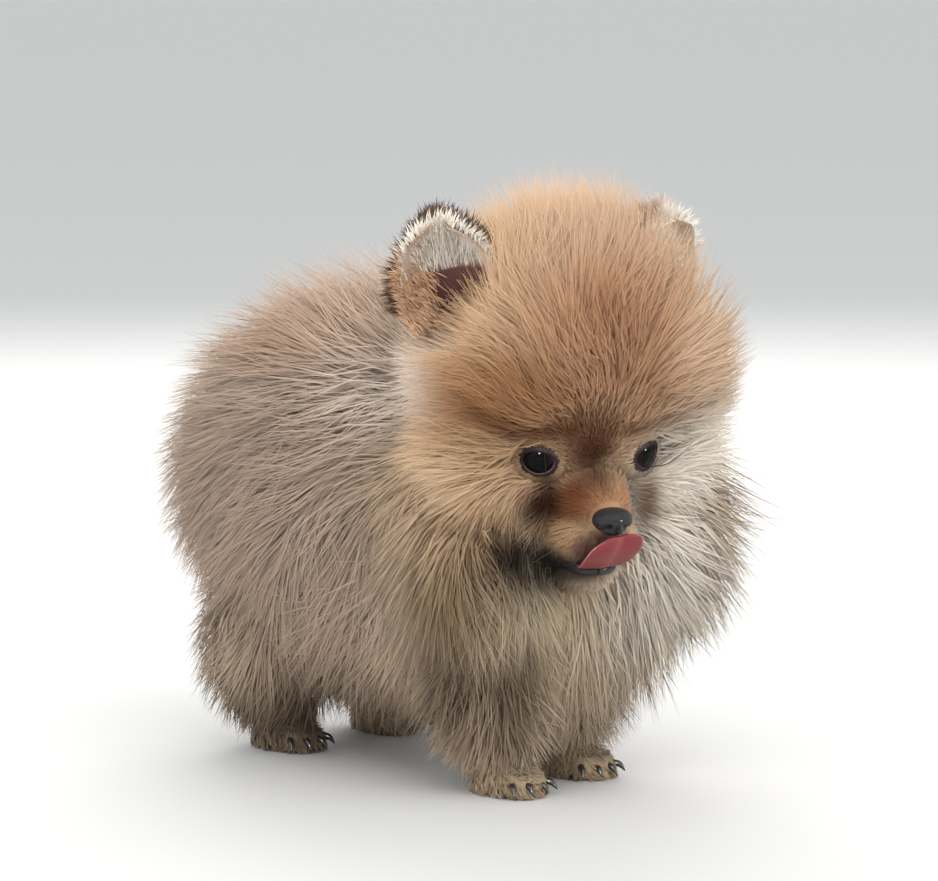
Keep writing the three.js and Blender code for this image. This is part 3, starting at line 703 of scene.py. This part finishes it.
bare = np.zeros(len(middles), bool)
for spot in EYES.values():
    local = seen_from(middles, spot)
    far = np.linalg.norm(local, axis=1)
    bare |= (far < EYE_BARE) & (-local[:, 1] > 0.55 * far)
bare |= np.linalg.norm((middle_head - NOSE_AT) / NOSE_BARE, axis=1) < 1
bare |= (middles[:, 2] < SOLE_BARE)


def scattered(allowed, count):
    weights = np.where(allowed & ~bare, areas, 0)
    chosen = chance.choice(len(weights), count, p=weights / weights.sum())
    a, b = chance.random((2, count, 1))
    flip = (a + b) > 1
    a, b = np.where(flip, 1 - a, a), np.where(flip, 1 - b, b)
    points = first[chosen] + (second - first)[chosen] * a + (third - first)[chosen] * b
    return points, facing[chosen]


print("bare share of the skin", round(float(areas[bare].sum() / areas.sum()), 3))

# %% [markdown]
# Where tufts lie on the UV map: the skin is unwrapped as its own shape, round the head like a globe,
# round each leg and the tail like a sleeve and round the body like a barrel. A view from the camera
# would be easier, but there the near and far sides fall on one spot and their colours mix.

# %% Unwrap of the skin
HEAD_CENTRE = np.array([0, 27, 8])
TAIL_COLUMN = (0, 84)
LOW_TOP = 125
BARREL_AXIS_HEIGHT = 80
BARREL_START = -90
BARREL_LENGTH = 190


def part_round(a, b):
    return np.arctan2(a, b) / (2 * math.pi) + 0.5


def on_sheet(across_sheet, up_sheet):
    return np.stack([across_sheet, up_sheet], 1) * 0.98 + 0.01


def chart_of(name, points):
    if "face" in name or "crown" in name:
        local = normed(seen_from(points, HEAD) - HEAD_CENTRE)
        around = part_round(local[:, 0], -local[:, 1])
        return on_sheet(around, np.arccos(np.clip(local[:, 2], -1, 1)) / math.pi)
    if "legs" in name:
        columns = [*PAWS.values(), TAIL_COLUMN]
        where = np.argmin([np.hypot(points[:, 0] - x, points[:, 1] - y) for x, y in columns], axis=0)
        centre = np.array(columns)[where]
        around = part_round(points[:, 0] - centre[:, 0], points[:, 1] - centre[:, 1])
        return on_sheet((where + around) / len(columns), points[:, 2] / LOW_TOP)
    around = part_round(points[:, 0], points[:, 2] - BARREL_AXIS_HEIGHT)
    return on_sheet(around, (points[:, 1] - BARREL_START) / BARREL_LENGTH)


print("sleeves on the map", len(PAWS) + 1)

# %% [markdown]
# Room for eyes, nose and ears: no tuft may hang over an eye or the nose, long hair of the ruff keeps out
# of the face, and the hair before each ear is short. Tufts in the way could all be left out, but near
# the ears that leaves bald skin, so there they are only cut short.

# %% Room for the face and the ears
FACE_SPACE = (HEAD, (-2, -21, -10), (34, 32, 32))
NOSE_SPACE = np.array([6.2, 9, 4.8])
EYE_SPACE = 6.4
EYE_SPACE_DEEP = 30
EAR_AT = (29, 42, 29)
EAR_LEAN_DEG = 17
EAR_BACK_DEG = -8
EAR_SPLAY_DEG = 26
EAR_SPACE = (np.array([-3, -12, 16]), np.array([21, 19, 20]))
SHORT_BY_EARS = 0.28


def ear_spot(side):
    lean = turned("Y", side * EAR_LEAN_DEG) @ turned("X", EAR_BACK_DEG) @ turned("Z", side * EAR_SPLAY_DEG)
    return HEAD @ moved((side * EAR_AT[0], EAR_AT[1], EAR_AT[2])) @ lean


def clear_of_face(tufts, face_piece):
    keep = np.ones(len(tufts["tip"]), bool)
    for end in ("middle", "tip"):
        for spot in EYES.values():
            local = seen_from(tufts[end], spot)
            before = (local[:, 1] < 0) & (local[:, 1] > -EYE_SPACE_DEEP)
            keep &= ~((np.hypot(local[:, 0], local[:, 2]) < EYE_SPACE) & before)
        local = (seen_from(tufts[end], HEAD) - NOSE_AT) / NOSE_SPACE
        keep &= np.linalg.norm(local, axis=1) > 1
        if not face_piece:
            spot, at, half = FACE_SPACE
            keep &= np.linalg.norm((seen_from(tufts[end], spot) - at) / half, axis=1) > 1
    return keep


def short_by_ears(tufts):
    near = np.zeros(len(tufts["tip"]), bool)
    for side in (1, -1):
        for end in ("middle", "tip"):
            local = (seen_from(tufts[end], ear_spot(side)) - EAR_SPACE[0]) / EAR_SPACE[1]
            near |= np.linalg.norm(local, axis=1) < 1
    shortened(tufts, np.where(near, SHORT_BY_EARS, 1.0))


print("ears at", [ear_spot(side)[:3, 3].round(1).tolist() for side in (1, -1)])

# %% [markdown]
# Roots are scattered evenly over the skin of each region. Over a third of the tufts are shorter and
# wider: they are the under coat, which keeps the skin from showing between the others.

# %% Coat
SHARE_UNDER = 0.38
UNDER_LONG = 0.66
UNDER_WIDE = 2.3
UNDER_TONE = 0.97
WIDTH_SPREAD = (0.7, 1.3)
TUFTS_TO_A_GUIDE = 26
COAT_KINDS = {
    "face": ("tan_fur", 0.05, 0.2),
    "crown": ("tan_fur", 0.08, 0.25),
    "ruff": ("cream_fur", 0.14, 0.42),
    "body": ("grey_tan_fur", 0.14, 0.42),
    "legs": ("grey_tan_fur", 0.12, 0.4),
}


def fewer(count):
    return count


for name, (allowed, count, wide) in REGIONS.items():
    slot, curl, clumping = COAT_KINDS[name.split("_")[1]]
    count = fewer(count)
    points, normals = scattered(allowed, count)
    widths = np.full(count, wide) * chance.uniform(*WIDTH_SPREAD, count)
    under = chance.random(count) < SHARE_UNDER
    widths[under] *= UNDER_WIDE
    tufts = growing(points, normals, count // TUFTS_TO_A_GUIDE, widths, pull=clumping, curl=curl)
    shortened(tufts, np.where(under, UNDER_LONG, 1.0))
    short_by_ears(tufts)
    keep = clear_of_face(tufts, name == "coat_face")
    for key, value in tufts.items():
        tufts[key] = value[:, keep] if key == "share" else value[keep]
    colours = lit(ring_colours_at(tufts))
    colours *= np.where(under[keep], UNDER_TONE, 1.0)[:, None, None]
    blades(name, tufts, colours, coat_finish, chart_of(name, points[keep]))
    print(name, int(keep.sum()), "tufts")

# %% [markdown]
# Eyes: dark glossy balls with a brown iris that is almost black and a cornea that bulges a little. A
# clear shell over an iris could do this too. One ball with painted points looks the same this small.

# %% Eyes
PUPIL = paint(6, 5, 7)
IRIS = paint(26, 15, 12)
CORNEA_BULGE = 0.05
eye_finish = finish("eye", from_mesh=True, rough=0.05, coat=0.0, shine=0.1)
lens = bmesh.new()
bmesh.ops.create_uvsphere(lens, u_segments=64, v_segments=48, radius=EYE_RADIUS)
ball_points, ball_faces = unpacked(lens)
ball_angle = np.degrees(np.arccos(np.clip(-ball_points[:, 1] / EYE_RADIUS, -1, 1)))
in_iris = smooth_step(ball_angle, 24, 30) * (1 - smooth_step(ball_angle, 42, 50))
ball_colours = PUPIL[None, :] + (IRIS - PUPIL)[None, :] * in_iris[:, None]
bulge = 1 + CORNEA_BULGE * (1 - smooth_step(ball_angle, 20, 46))
ball_points = ball_points * bulge[:, None]
print("points on an eye", len(ball_points))

# %% [markdown]
# Round each eye is a lid with a thin dark rim, plum-coloured where it is wet at the lower and inner
# edge. It is a ring of one cross section that follows the opening, and short hair grows on it.

# %% Lids
LID_SLIT = (5.1, 4.0)
LID_PROFILE = [
    (0.0, 7.0), (0.15, 7.45), (0.6, 7.75), (1.4, 7.9), (4.0, 8.1), (8.0, 7.9), (11.0, 6.8), (6.0, 6.0),
    (0.0, 6.2),
]
LID_DEG_PER_STEP_OUT = 2.6
LID_STEPS = 72
LID_RADIUS = 8.0
LID_TUFTS = 2000
LID_TUFT_WIDE = 0.24
WET_LID, WET_LID_OUTER = paint(112, 76, 88), paint(20, 14, 16)
LID_RIM, LID_SKIN = paint(18, 12, 12), paint(66, 44, 32)
lid_finish = finish("lid", from_mesh=True, rough=0.55, coat=0.0, shine=0.25)


def band_faces(rings, around, closed=False):
    faces = []
    for ring in range(rings if closed else rings - 1):
        here, there = ring * around, (ring + 1) % rings * around
        for k in range(around):
            after = (k + 1) % around
            faces.append([here + k, here + after, there + after, there + k])
    return faces


def capped_faces(rings, around):
    first = list(range(around))
    return band_faces(rings, around) + [first[::-1], [(rings - 1) * around + k for k in first]]


def lid_colour(out, inner):
    if out < 0.5:
        wet = WET_LID * inner + WET_LID_OUTER * (1 - min(1, inner))
        return np.clip(wet, 0, 1)
    return LID_RIM if out < 1.5 else LID_SKIN


def lids(name, spot, side):
    lid_points, lid_colours = [], []
    for i in range(LID_STEPS):
        turn = 2 * math.pi * i / LID_STEPS
        across_slit = LID_SLIT[0] * math.cos(turn)
        up_slit = LID_SLIT[1] * math.sin(turn) * (0.8 if math.sin(turn) > 0 else 1.0)
        start = math.degrees(math.asin(math.hypot(across_slit, up_slit) / (EYE_RADIUS + 0.9)))
        heading = math.atan2(up_slit, across_slit)
        inner = max(0, -side * math.cos(turn)) ** 2 + 0.8 * max(0, -math.sin(turn)) ** 2
        for out, far in LID_PROFILE:
            tilt = math.radians(start + out * LID_DEG_PER_STEP_OUT)
            flat = math.sin(tilt)
            way = np.array([flat * math.cos(heading), -math.cos(tilt), flat * math.sin(heading)])
            lid_points.append(way * far)
            lid_colours.append(lid_colour(out, inner))
    faces = band_faces(LID_STEPS, len(LID_PROFILE), closed=True)
    piece(name, placed(lid_points, spot), faces, lid_finish, np.array(lid_colours))


def lid_fur(name, spot, side):
    count = fewer(LID_TUFTS)
    heading = chance.uniform(0, 2 * math.pi, count)
    wide, high = LID_SLIT
    slit_here = wide * high / np.hypot(high * np.cos(heading), wide * np.sin(heading))
    tilt = np.arcsin(slit_here / 8.1) + np.radians(3 + 30 * chance.random(count) ** 0.9)
    out = np.stack([np.sin(tilt) * np.cos(heading), -np.cos(tilt), np.sin(tilt) * np.sin(heading)], 1)
    flow = np.stack([np.cos(tilt) * np.cos(heading), np.sin(tilt), np.cos(tilt) * np.sin(heading)], 1)
    flow += np.array([side * 0.5, 0.0, 0.25])
    ways = normed(flow + out * 0.28) @ spot[:3, :3].T
    roots = placed(out * LID_RADIUS, spot)
    share = flesh_share(roots)
    widths = np.full(count, LID_TUFT_WIDE)
    tufts = growing(roots, out @ spot[:3, :3].T, count // 20, widths, share=share, ways=ways,
                    length=chance.uniform(2.2, 3.8, count), droop=0, jitter=0.12, pull=0.2)
    colours = lit(ring_colours_at(tufts))
    edge = smooth_step(np.degrees(tilt), 38, 46)[:, None, None]
    chart = np.stack([heading / 6.4, tilt / 2], 1)
    blades(name, tufts, colours * (0.7 + 0.3 * edge), coat_finish, chart)


for name, spot in EYES.items():
    ball = piece(name, placed(ball_points, spot), ball_faces, eye_finish, ball_colours)
    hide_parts(name)
    side = 1 if name == "eye_left" else -1
    lids(name.replace("eye", "lids"), spot, side)
    lid_fur(name.replace("eye", "lid_fur"), spot, side)
print("eyes", list(EYES))

# %% [markdown]
# Nose: a moist black pad like a rounded triangle, with a comma-shaped nostril at each side, a groove
# down its middle and a fine pebbled grain. It is one ball whose points are pushed to that shape.

# %% Nose
NOSE_HALF = np.array([6.2, 4.6, 4.5])


def dent(across_nose, up_nose):
    return np.exp(-(across_nose ** 2 + up_nose ** 2))


pad = bmesh.new()
bmesh.ops.create_icosphere(pad, subdivisions=6, radius=1)
nose_points, nose_faces = unpacked(pad)
x, y, z = nose_points.T
narrowing = 1 - 0.28 * smooth_step(-z, 0.1, 1.0)
nose_points = np.stack([x * narrowing * (1 + 0.08 * z), y, z * (1 - 0.12 * (z > 0) * z ** 2)], 1)
x, y, z = nose_points.T
front = smooth_step(-y, 0.0, 0.5)
pit = dent((np.abs(x) - 0.5) / 0.17, (z + 0.12) / 0.2)
slit = dent((np.abs(x) - 0.78) / 0.2, (z + 0.34 - 0.2 * (np.abs(x) - 0.78)) / 0.09)
groove = np.exp(-(x / 0.06) ** 2) * smooth_step(-z, -0.25, 0.25)
wing = dent((np.abs(x) - 0.62) / 0.2, (z - 0.12) / 0.2)
push = front * (0.42 * pit + 0.3 * slit + 0.1 * groove - 0.07 * wing)
nose_points = nose_points * (1 - push)[:, None]
nose_finish = finish("nose_leather", (26, 22, 28), 0.36, coat=0.15, shine=0.4)
roughen(nose_finish, 2600, 0.00012, "ShaderNodeTexVoronoi")
nose_points = placed(nose_points * NOSE_HALF + NOSE_AT, HEAD)
nose = piece("nose_pad", nose_points, nose_faces, nose_finish)
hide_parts("nose")
print("nose points", len(nose_points))

# %% [markdown]
# Tongue: it curls up out of the mouth and over the upper lip to the nose. It is a flat soft strip with a
# thin rim and a crease down the middle, lofted through a few cross sections from mouth to tip.

# %% Tongue
TONGUE = [
    ((0, -3, -29.2), 5.5, 0, 0), ((0, -11, -29.2), 6.5, 0, 6), ((-0.6, -16.8, -27.2), 7.6, 3, 42),
    ((-0.4, -20.8, -23.4), 8.8, 6, 78), ((0, -22.6, -20.6), 9.0, 9, 94), ((0.4, -23, -18.6), 8.4, 11, 98),
    ((0.8, -23.1, -17), 6.6, 12, 100), ((1.0, -22.9, -16.1), 3.6, 12, 102),
]
TONGUE_THICK = 1.25
TONGUE_AROUND = 40
TONGUE_STEPS = 48
TONGUE_RED, TONGUE_RIM, TONGUE_CREST = paint(136, 36, 42), paint(196, 132, 136), paint(176, 108, 112)
CREST_SHARE = 0.35


def eased(values, steps):
    values = np.asarray(values, float)
    spots = np.linspace(0, len(values) - 1, steps)
    before = np.clip(spots.astype(int), 0, len(values) - 2)
    part = (spots - before)[:, None]
    a = values[np.maximum(before - 1, 0)]
    b, c = values[before], values[before + 1]
    d = values[np.minimum(before + 2, len(values) - 1)]
    return b + 0.5 * part * (c - a + part * (2 * a - 5 * b + 4 * c - d + part * (3 * (b - c) + d - a)))


strip = eased([[*at, wide, lean, rise] for at, wide, lean, rise in TONGUE], TONGUE_STEPS)
tongue_points, tongue_colours = [], []
for row in strip:
    turn = turned("Y", -row[4]) @ turned("X", -row[5])
    for k in range(TONGUE_AROUND):
        angle = 2 * math.pi * k / TONGUE_AROUND
        wide = math.cos(angle) * row[3]
        share = abs(math.cos(angle))
        thick = math.sin(angle) * TONGUE_THICK * (1 - 0.35 * share ** 4)
        deep, reach = (0.55, 0.9) if math.sin(angle) > 0 else (0.2, 1.2)
        crease = -deep * math.exp(-(wide / reach) ** 2)
        curl = -0.06 * wide * wide / max(row[3], 1)
        tongue_points.append(placed([(wide, 0, thick + crease + curl)], turn)[0] + row[:3])
        rim = smooth_step(np.array([share]), 0.93, 1.0)[0]
        crest = math.exp(-(wide / 1.1) ** 2)
        colour = TONGUE_RED * (1 - rim) + TONGUE_RIM * rim
        tongue_colours.append(colour * (1 - CREST_SHARE * crest) + TONGUE_CREST * CREST_SHARE * crest)
tongue_faces = capped_faces(TONGUE_STEPS, TONGUE_AROUND)
tongue_finish = finish("tongue", from_mesh=True, rough=0.36, coat=0.2, shine=0.3)
roughen(tongue_finish, 1400, 0.00015)
tongue = piece("tongue_flap", placed(tongue_points, HEAD), tongue_faces, tongue_finish,
               np.array(tongue_colours))
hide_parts("tongue")
print("tongue points", len(tongue_points))

# %% [markdown]
# Lips, whiskers and claws: black bare lips run from the cleft under the nose to the corners of the mouth,
# a few long whiskers stand from the muzzle and over the eyes, and each toe has a dark claw. All are
# round cords that thin to the end.

# %% Lips, whiskers and claws
def tube(name, path, radii, made, spot, steps=40, around=12):
    rows = eased([[*p, r] for p, r in zip(path, radii)], steps)
    centres = rows[:, :3]
    along = normed(np.gradient(centres, axis=0))
    side = normed(np.cross(along, np.array([0.31, 0.17, 0.94])))
    off = np.cross(side, along)
    angles = 2 * np.pi * np.arange(around) / around
    round_way = side[:, None] * np.cos(angles)[None, :, None] + off[:, None] * np.sin(angles)[None, :, None]
    rings = centres[:, None] + rows[:, 3][:, None, None] * round_way
    faces = capped_faces(steps, around)
    return piece(name, placed(rings.reshape(-1, 3), spot), faces, made)


def whisker(name, path, radii):
    tube(name, path, radii, whisker_dark, HEAD, steps=10, around=5)


SIDES = ((1, "left"), (-1, "right"))
lip_finish = roughen(finish("dark_lip", (26, 20, 22), 0.4, coat=0.2), 900, 0.0002)
for side, word in SIDES:
    upper = [
        (0, -16.6, -19.5), (side * 0.7, -16.2, -24), (side * 4, -14.2, -28.6), (side * 8, -9, -29.6),
        (side * 10.6, -2.5, -30.4), (side * 12.6, 4, -32),
    ]
    lower = [
        (0, -12.4, -31.4), (side * 4.4, -11.2, -31.4), (side * 7.4, -6.5, -31.6),
        (side * 9.4, -0.5, -32), (side * 12.6, 4, -32.6),
    ]
    tube(f"upper_lip_{word}", upper, [0.4, 0.5, 0.8, 1.0, 1.0, 0.7], lip_finish, HEAD)
    tube(f"lower_lip_{word}", lower, [1.5, 1.6, 1.4, 1.2, 0.8], lip_finish, HEAD)
whisker_dark = finish("whisker_dark", (40, 28, 22), 0.4)
for side, word in SIDES:
    for i in range(6):
        start = np.array([side * (7.5 + 0.4 * (i % 3)), -12 + 2.6 * (i // 3), -17 - 2.4 * (i % 3)])
        way = np.array([side * (1.0 + 0.1 * (i % 3)), 0.1 + 0.35 * (i // 3), -0.35 - 0.2 * (i % 3)])
        long = 12 + 4 * chance.random()
        path = [start, start + way * long * 0.5 + (0, 0, 1.2), start + way * long]
        whisker(f"whisker_{word}_{i}", path, [0.1, 0.08, 0.03])
    path = [(side * 16, -3, -3), (side * 20, -12, 2), (side * 24, -18, 11)]
    whisker(f"whisker_eye_{word}", path, [0.14, 0.12, 0.04])

CLAW_HEIGHT = 4.4
CLAW_FROM_PAW = 11.8
CLAW_RADII = (1.15, 0.95, 0.15)
claw_finish = finish("claw", (48, 40, 36), 0.3, coat=0.3)
for place, (x, y) in PAWS.items():
    for i, degrees in enumerate(TOE_ANGLES_DEG):
        turn = math.radians(degrees)
        way = np.array([math.sin(turn), -math.cos(turn), 0])
        start = np.array([x, y, CLAW_HEIGHT]) + way * CLAW_FROM_PAW
        path = [start, start + way * 2.6 + (0, 0, -0.6), start + way * 4.4 + (0, 0, -2.6)]
        horn = tube(f"claw_{i}_{place}_horn", path, CLAW_RADII, claw_finish, BODY, steps=12,
                    around=10)
        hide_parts(f"claw_{place}_{i + 1}")
print("claws", len(PAWS) * len(TOE_ANGLES_DEG))

# %% [markdown]
# Ears: small rounded cups set wide on the head. Each is a thin leaf with two faces, made from a formula
# of two numbers, across and up, which also gives the roots of its hair. The bare inside is plum pink
# and turns pale to its edge and top. The ear on the far side is paler all over.

# %% Leaves of the ears
EAR_ACROSS = 36
EAR_UP = 36
EAR_TALL = 35
EAR_THICK = 1.3
ear_finish = finish("ear_leaf", from_mesh=True, rough=0.6, shine=0.2)


def ear_leaf(u, v):
    half = 16.0 * np.sqrt(np.clip(1 - ((v - 0.42) / 0.6) ** 2, 0, 1)) * (1 - 0.12 * v)
    return np.stack([u * half, 5.5 - 9.0 * u * u - 8 * (v - 0.4) ** 2, -4 + EAR_TALL * v], -1)


grid_u, grid_v = np.meshgrid(np.linspace(-1, 1, EAR_ACROSS + 1), np.linspace(0, 0.995, EAR_UP + 1))
grid_u, grid_v = grid_u.ravel(), grid_v.ravel()
leaf = ear_leaf(grid_u, grid_v)
leaf_count = len(leaf)
row = EAR_ACROSS + 1
flat_faces = [
    [r * row + c, r * row + c + 1, (r + 1) * row + c + 1, (r + 1) * row + c]
    for r in range(EAR_UP) for c in range(EAR_ACROSS)
]
border = [c for c in range(row)] + [r * row + row - 1 for r in range(1, EAR_UP + 1)]
border += [EAR_UP * row + c for c in range(row - 2, -1, -1)] + [r * row for r in range(EAR_UP - 1, 0, -1)]
ear_faces = flat_faces + [[i + leaf_count for i in reversed(face)] for face in flat_faces]
ear_faces += [[b, border[k - 1], border[k - 1] + leaf_count, b + leaf_count] for k, b in enumerate(border)]
inside = paint(112, 76, 72)[None, :] * np.ones((leaf_count, 1))
inside += (paint(86, 46, 46) - inside) * (np.exp(-((grid_v - 0.25) / 0.25) ** 2))[:, None]
edge = np.maximum(smooth_step(np.abs(grid_u), 0.7, 0.9), smooth_step(grid_v, 0.8, 0.92))
high = smooth_step(grid_v, 0.52, 0.66)
inside += (paint(226, 212, 200) - inside) * high[:, None]
inside += (paint(206, 184, 162) - inside) * edge[:, None]
outside = paint(150, 120, 94)[None, :] * np.ones((leaf_count, 1))
FAR_EAR_PALE = {"left": 0.75, "right": 0.0}


def leaf_of_ear(word, spot):
    back = np.array([0, EAR_THICK, 0])
    points = np.concatenate([placed(leaf, spot), placed(leaf + back, spot)])
    colours = np.concatenate([inside, outside])
    colours += (paint(226, 204, 184) - colours) * FAR_EAR_PALE[word]
    made = piece(f"ear_leaf_{word}", points, ear_faces, ear_finish, colours)
    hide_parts(f"ear_{word}")


print("points on an ear", 2 * leaf_count)

# %% [markdown]
# Hair of the ears: pale hair fills the upper part, a flap of it hangs over the outer side, and a dark
# brown fringe stands round the rim of the near ear. Each set gives its roots, ways, lengths and colours.

# %% Ears
EAR_TUFTS = {"rim": 2600, "inside": 1700, "flap": 1200, "back": 1800}
EAR_WIDE = {"rim": 0.4, "inside": 0.42, "flap": 0.36, "back": 0.5}
EAR_TONES = {
    "left": (paint(226, 206, 188), paint(198, 168, 140), paint(222, 200, 178), 0.95),
    "right": (paint(120, 92, 72), paint(128, 96, 72), paint(220, 176, 138), 0.4),
}
TONE_ROOT = paint(178, 150, 126)
TONE_INSIDE = paint(252, 238, 222)
EAR_TUFTS_TO_A_GUIDE = 14


def rim_tufts(count, tone, tip_tone):
    around = chance.uniform(-0.12, 1.12, count) * math.pi
    u = np.cos(around) * chance.uniform(0.8, 1.0, count)
    v = np.clip(0.42 + 0.56 * np.sin(around) * chance.uniform(0.84, 1, count), 0.02, 0.98)
    roots = ear_leaf(u, v) + np.array([0, 0.5, 0])
    ways = np.stack([np.cos(around), -0.1 + 0.7 * chance.random(count), np.sin(around) + 0.15], -1)
    length = chance.uniform(4.5, 8.5, count)
    spread = 0.72 + 0.28 * chance.random(count)[:, None]
    tones = np.stack([TONE_ROOT * spread, tone * spread, tone * tip_tone * spread], 1)
    return roots, ways, length, tones


def inside_tufts(count, side):
    u = chance.uniform(-0.95, 0.95, count)
    v = chance.normal(0.76, 0.12, count).clip(0.54, 0.97)
    ways = np.stack([0.5 * u - 0.15 * side, -0.3 + 0 * u, 0.9 + 0 * u], -1)
    length = chance.uniform(3.5, 7, count)
    return ear_leaf(u, v), ways, length, TONE_INSIDE * chance.uniform(0.92, 1.05, (count, 1))


def flap_tufts(count, side, tone):
    u = side * chance.normal(0.72, 0.2, count).clip(0.1, 0.97)
    v = chance.normal(0.36, 0.2, count).clip(0.03, 0.8)
    ways = np.stack([side * 0.45 + 0 * u, -0.5 + 0 * u, 0.8 + 0 * u], -1)
    length = chance.uniform(4, 7.5, count)
    return ear_leaf(u, v), ways, length, tone * chance.uniform(0.8, 1.08, (count, 1))


def back_tufts(count, tone):
    u = chance.uniform(-1, 1, count)
    v = chance.uniform(0, 0.97, count)
    ways = np.stack([u * 0.7, 0.75 + 0 * u, 0.5 + 0 * u], -1)
    length = chance.uniform(5, 9, count)
    return ear_leaf(u, v) + (0, EAR_THICK, 0), ways, length, tone * chance.uniform(0.8, 1.15, (count, 1))


for side, word in SIDES:
    spot = ear_spot(side)
    leaf_of_ear(word, spot)
    tone_rim, tone_back, tone_flap, tip_tone = EAR_TONES[word]
    sets = {
        "rim": rim_tufts(fewer(EAR_TUFTS["rim"]), tone_rim, tip_tone),
        "inside": inside_tufts(fewer(EAR_TUFTS["inside"]), side),
        "flap": flap_tufts(fewer(EAR_TUFTS["flap"]), side, tone_flap),
        "back": back_tufts(fewer(EAR_TUFTS["back"]), tone_back),
    }
    for part, (roots, ways, length, tones) in sets.items():
        count = len(roots)
        ways = normed(ways) @ spot[:3, :3].T
        face = np.array([0, 1.0 if part == "back" else -1.0, 0]) @ spot[:3, :3].T
        normals = normed(np.tile(face, (count, 1)) + np.array([0, 0, 0.9]))
        widths = EAR_WIDE[part] * chance.uniform(*WIDTH_SPREAD, count)
        grown = growing(placed(roots, spot), normals, count // EAR_TUFTS_TO_A_GUIDE, widths,
                        share=np.ones((6, count)) / 6, ways=ways, length=length, droop=0)
        chart = np.stack([roots[:, 0] / 40 + 0.5, roots[:, 2] / 45 + 0.1], 1)
        blades(f"ear_{part}_{word}", grown, tones, coat_finish, chart)
print("tufts on an ear", sum(fewer(count) for count in EAR_TUFTS.values()))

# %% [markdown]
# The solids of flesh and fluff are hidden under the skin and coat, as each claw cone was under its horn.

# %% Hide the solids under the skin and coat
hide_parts("head", "lower_jaw", "neck", "torso", "tail")
for place in PAWS:
    kind, word = place.split("_")
    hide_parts(f"{kind}leg_{word}", f"{kind}paw_{word}")
print("legs and paws under the skin", 2 * len(PAWS))

# %% [markdown]
# A plain pale floor and soft light from a wide source over the camera's right shoulder, a weaker one on
# the left and one behind, so that the edge of the fluff glows as it does outdoors. Two small lamps stand
# where each eye mirrors them to the camera. They give its highlight and don't light the fur.

# %% Floor, light and camera
FLOOR_REACH = 12.0
floor_mesh = bpy.data.meshes.new("floor")
floor_corners = [(x * FLOOR_REACH, y * FLOOR_REACH, 0) for x, y in ((-1, -1), (1, -1), (1, 1), (-1, 1))]
floor_mesh.from_pydata(floor_corners, [], [[0, 1, 2, 3]])
floor = bpy.data.objects.new("floor", floor_mesh)
bpy.context.collection.objects.link(floor)
floor_mesh.materials.append(finish("floor", (206, 204, 200), 0.8))

CAMERA_TURN_DEG = -42
CAMERA_RISE_DEG = 7.5
CAMERA_FAR = 1500
AIM = np.array([-16.5, -31.8, 105.6])
LENS = 190
SENSOR_WIDE = 36
NEAREST_SEEN = 0.05
turn, rise = math.radians(CAMERA_TURN_DEG), math.radians(CAMERA_RISE_DEG)
back = np.array([math.sin(turn) * math.cos(rise), -math.cos(turn) * math.cos(rise), math.sin(rise)])


def pointed(thing, start, end):
    thing.location = start
    thing.rotation_euler = (Vector(end) - Vector(start)).to_track_quat("-Z", "Y").to_euler()
    bpy.context.collection.objects.link(thing)


target = (AIM + SHIFT) * MM
camera = bpy.data.objects.new("camera", bpy.data.cameras.new("camera"))
camera.data.lens = LENS
camera.data.sensor_width = SENSOR_WIDE
camera.data.clip_start = NEAREST_SEEN
pointed(camera, target + back * CAMERA_FAR * MM, target)
bpy.context.scene.camera = camera

LIGHTS_AIM = (0, 0, 0.1)
LIGHTS = {
    "key": ((-0.2, -0.8, 1.0), 1.3, 10.0),
    "fill": ((-1.0, 0.1, 0.6), 1.2, 4.5),
    "glint_near": ((-0.93, -0.83, 0.46), 0.17, 12.0),
    "glint_far": ((0.36, -1.22, 0.26), 0.14, 8.0),
    "glow": ((0.55, 0.65, 0.75), 0.8, 9.0),
}
for name, (at, width, power) in LIGHTS.items():
    lamp = bpy.data.lights.new(name, "AREA")
    lamp.size = width
    lamp.energy = power
    shown_as = bpy.data.objects.new(name, lamp)
    shown_as.visible_diffuse = not name.startswith("glint")
    pointed(shown_as, at, LIGHTS_AIM)
SKY_COLOUR = (0.92, 0.96, 1.0, 1)
SKY_STRENGTH = 0.95
world = bpy.data.worlds.new("sky")
world.use_nodes = True
sky = world.node_tree.nodes["Background"]
sky.inputs["Color"].default_value = SKY_COLOUR
sky.inputs["Strength"].default_value = SKY_STRENGTH
bpy.context.scene.world = world
bpy.context.scene.view_settings.view_transform = "Standard"
print("camera at", CAMERA_FAR, "mm with a lens of", LENS, "mm")
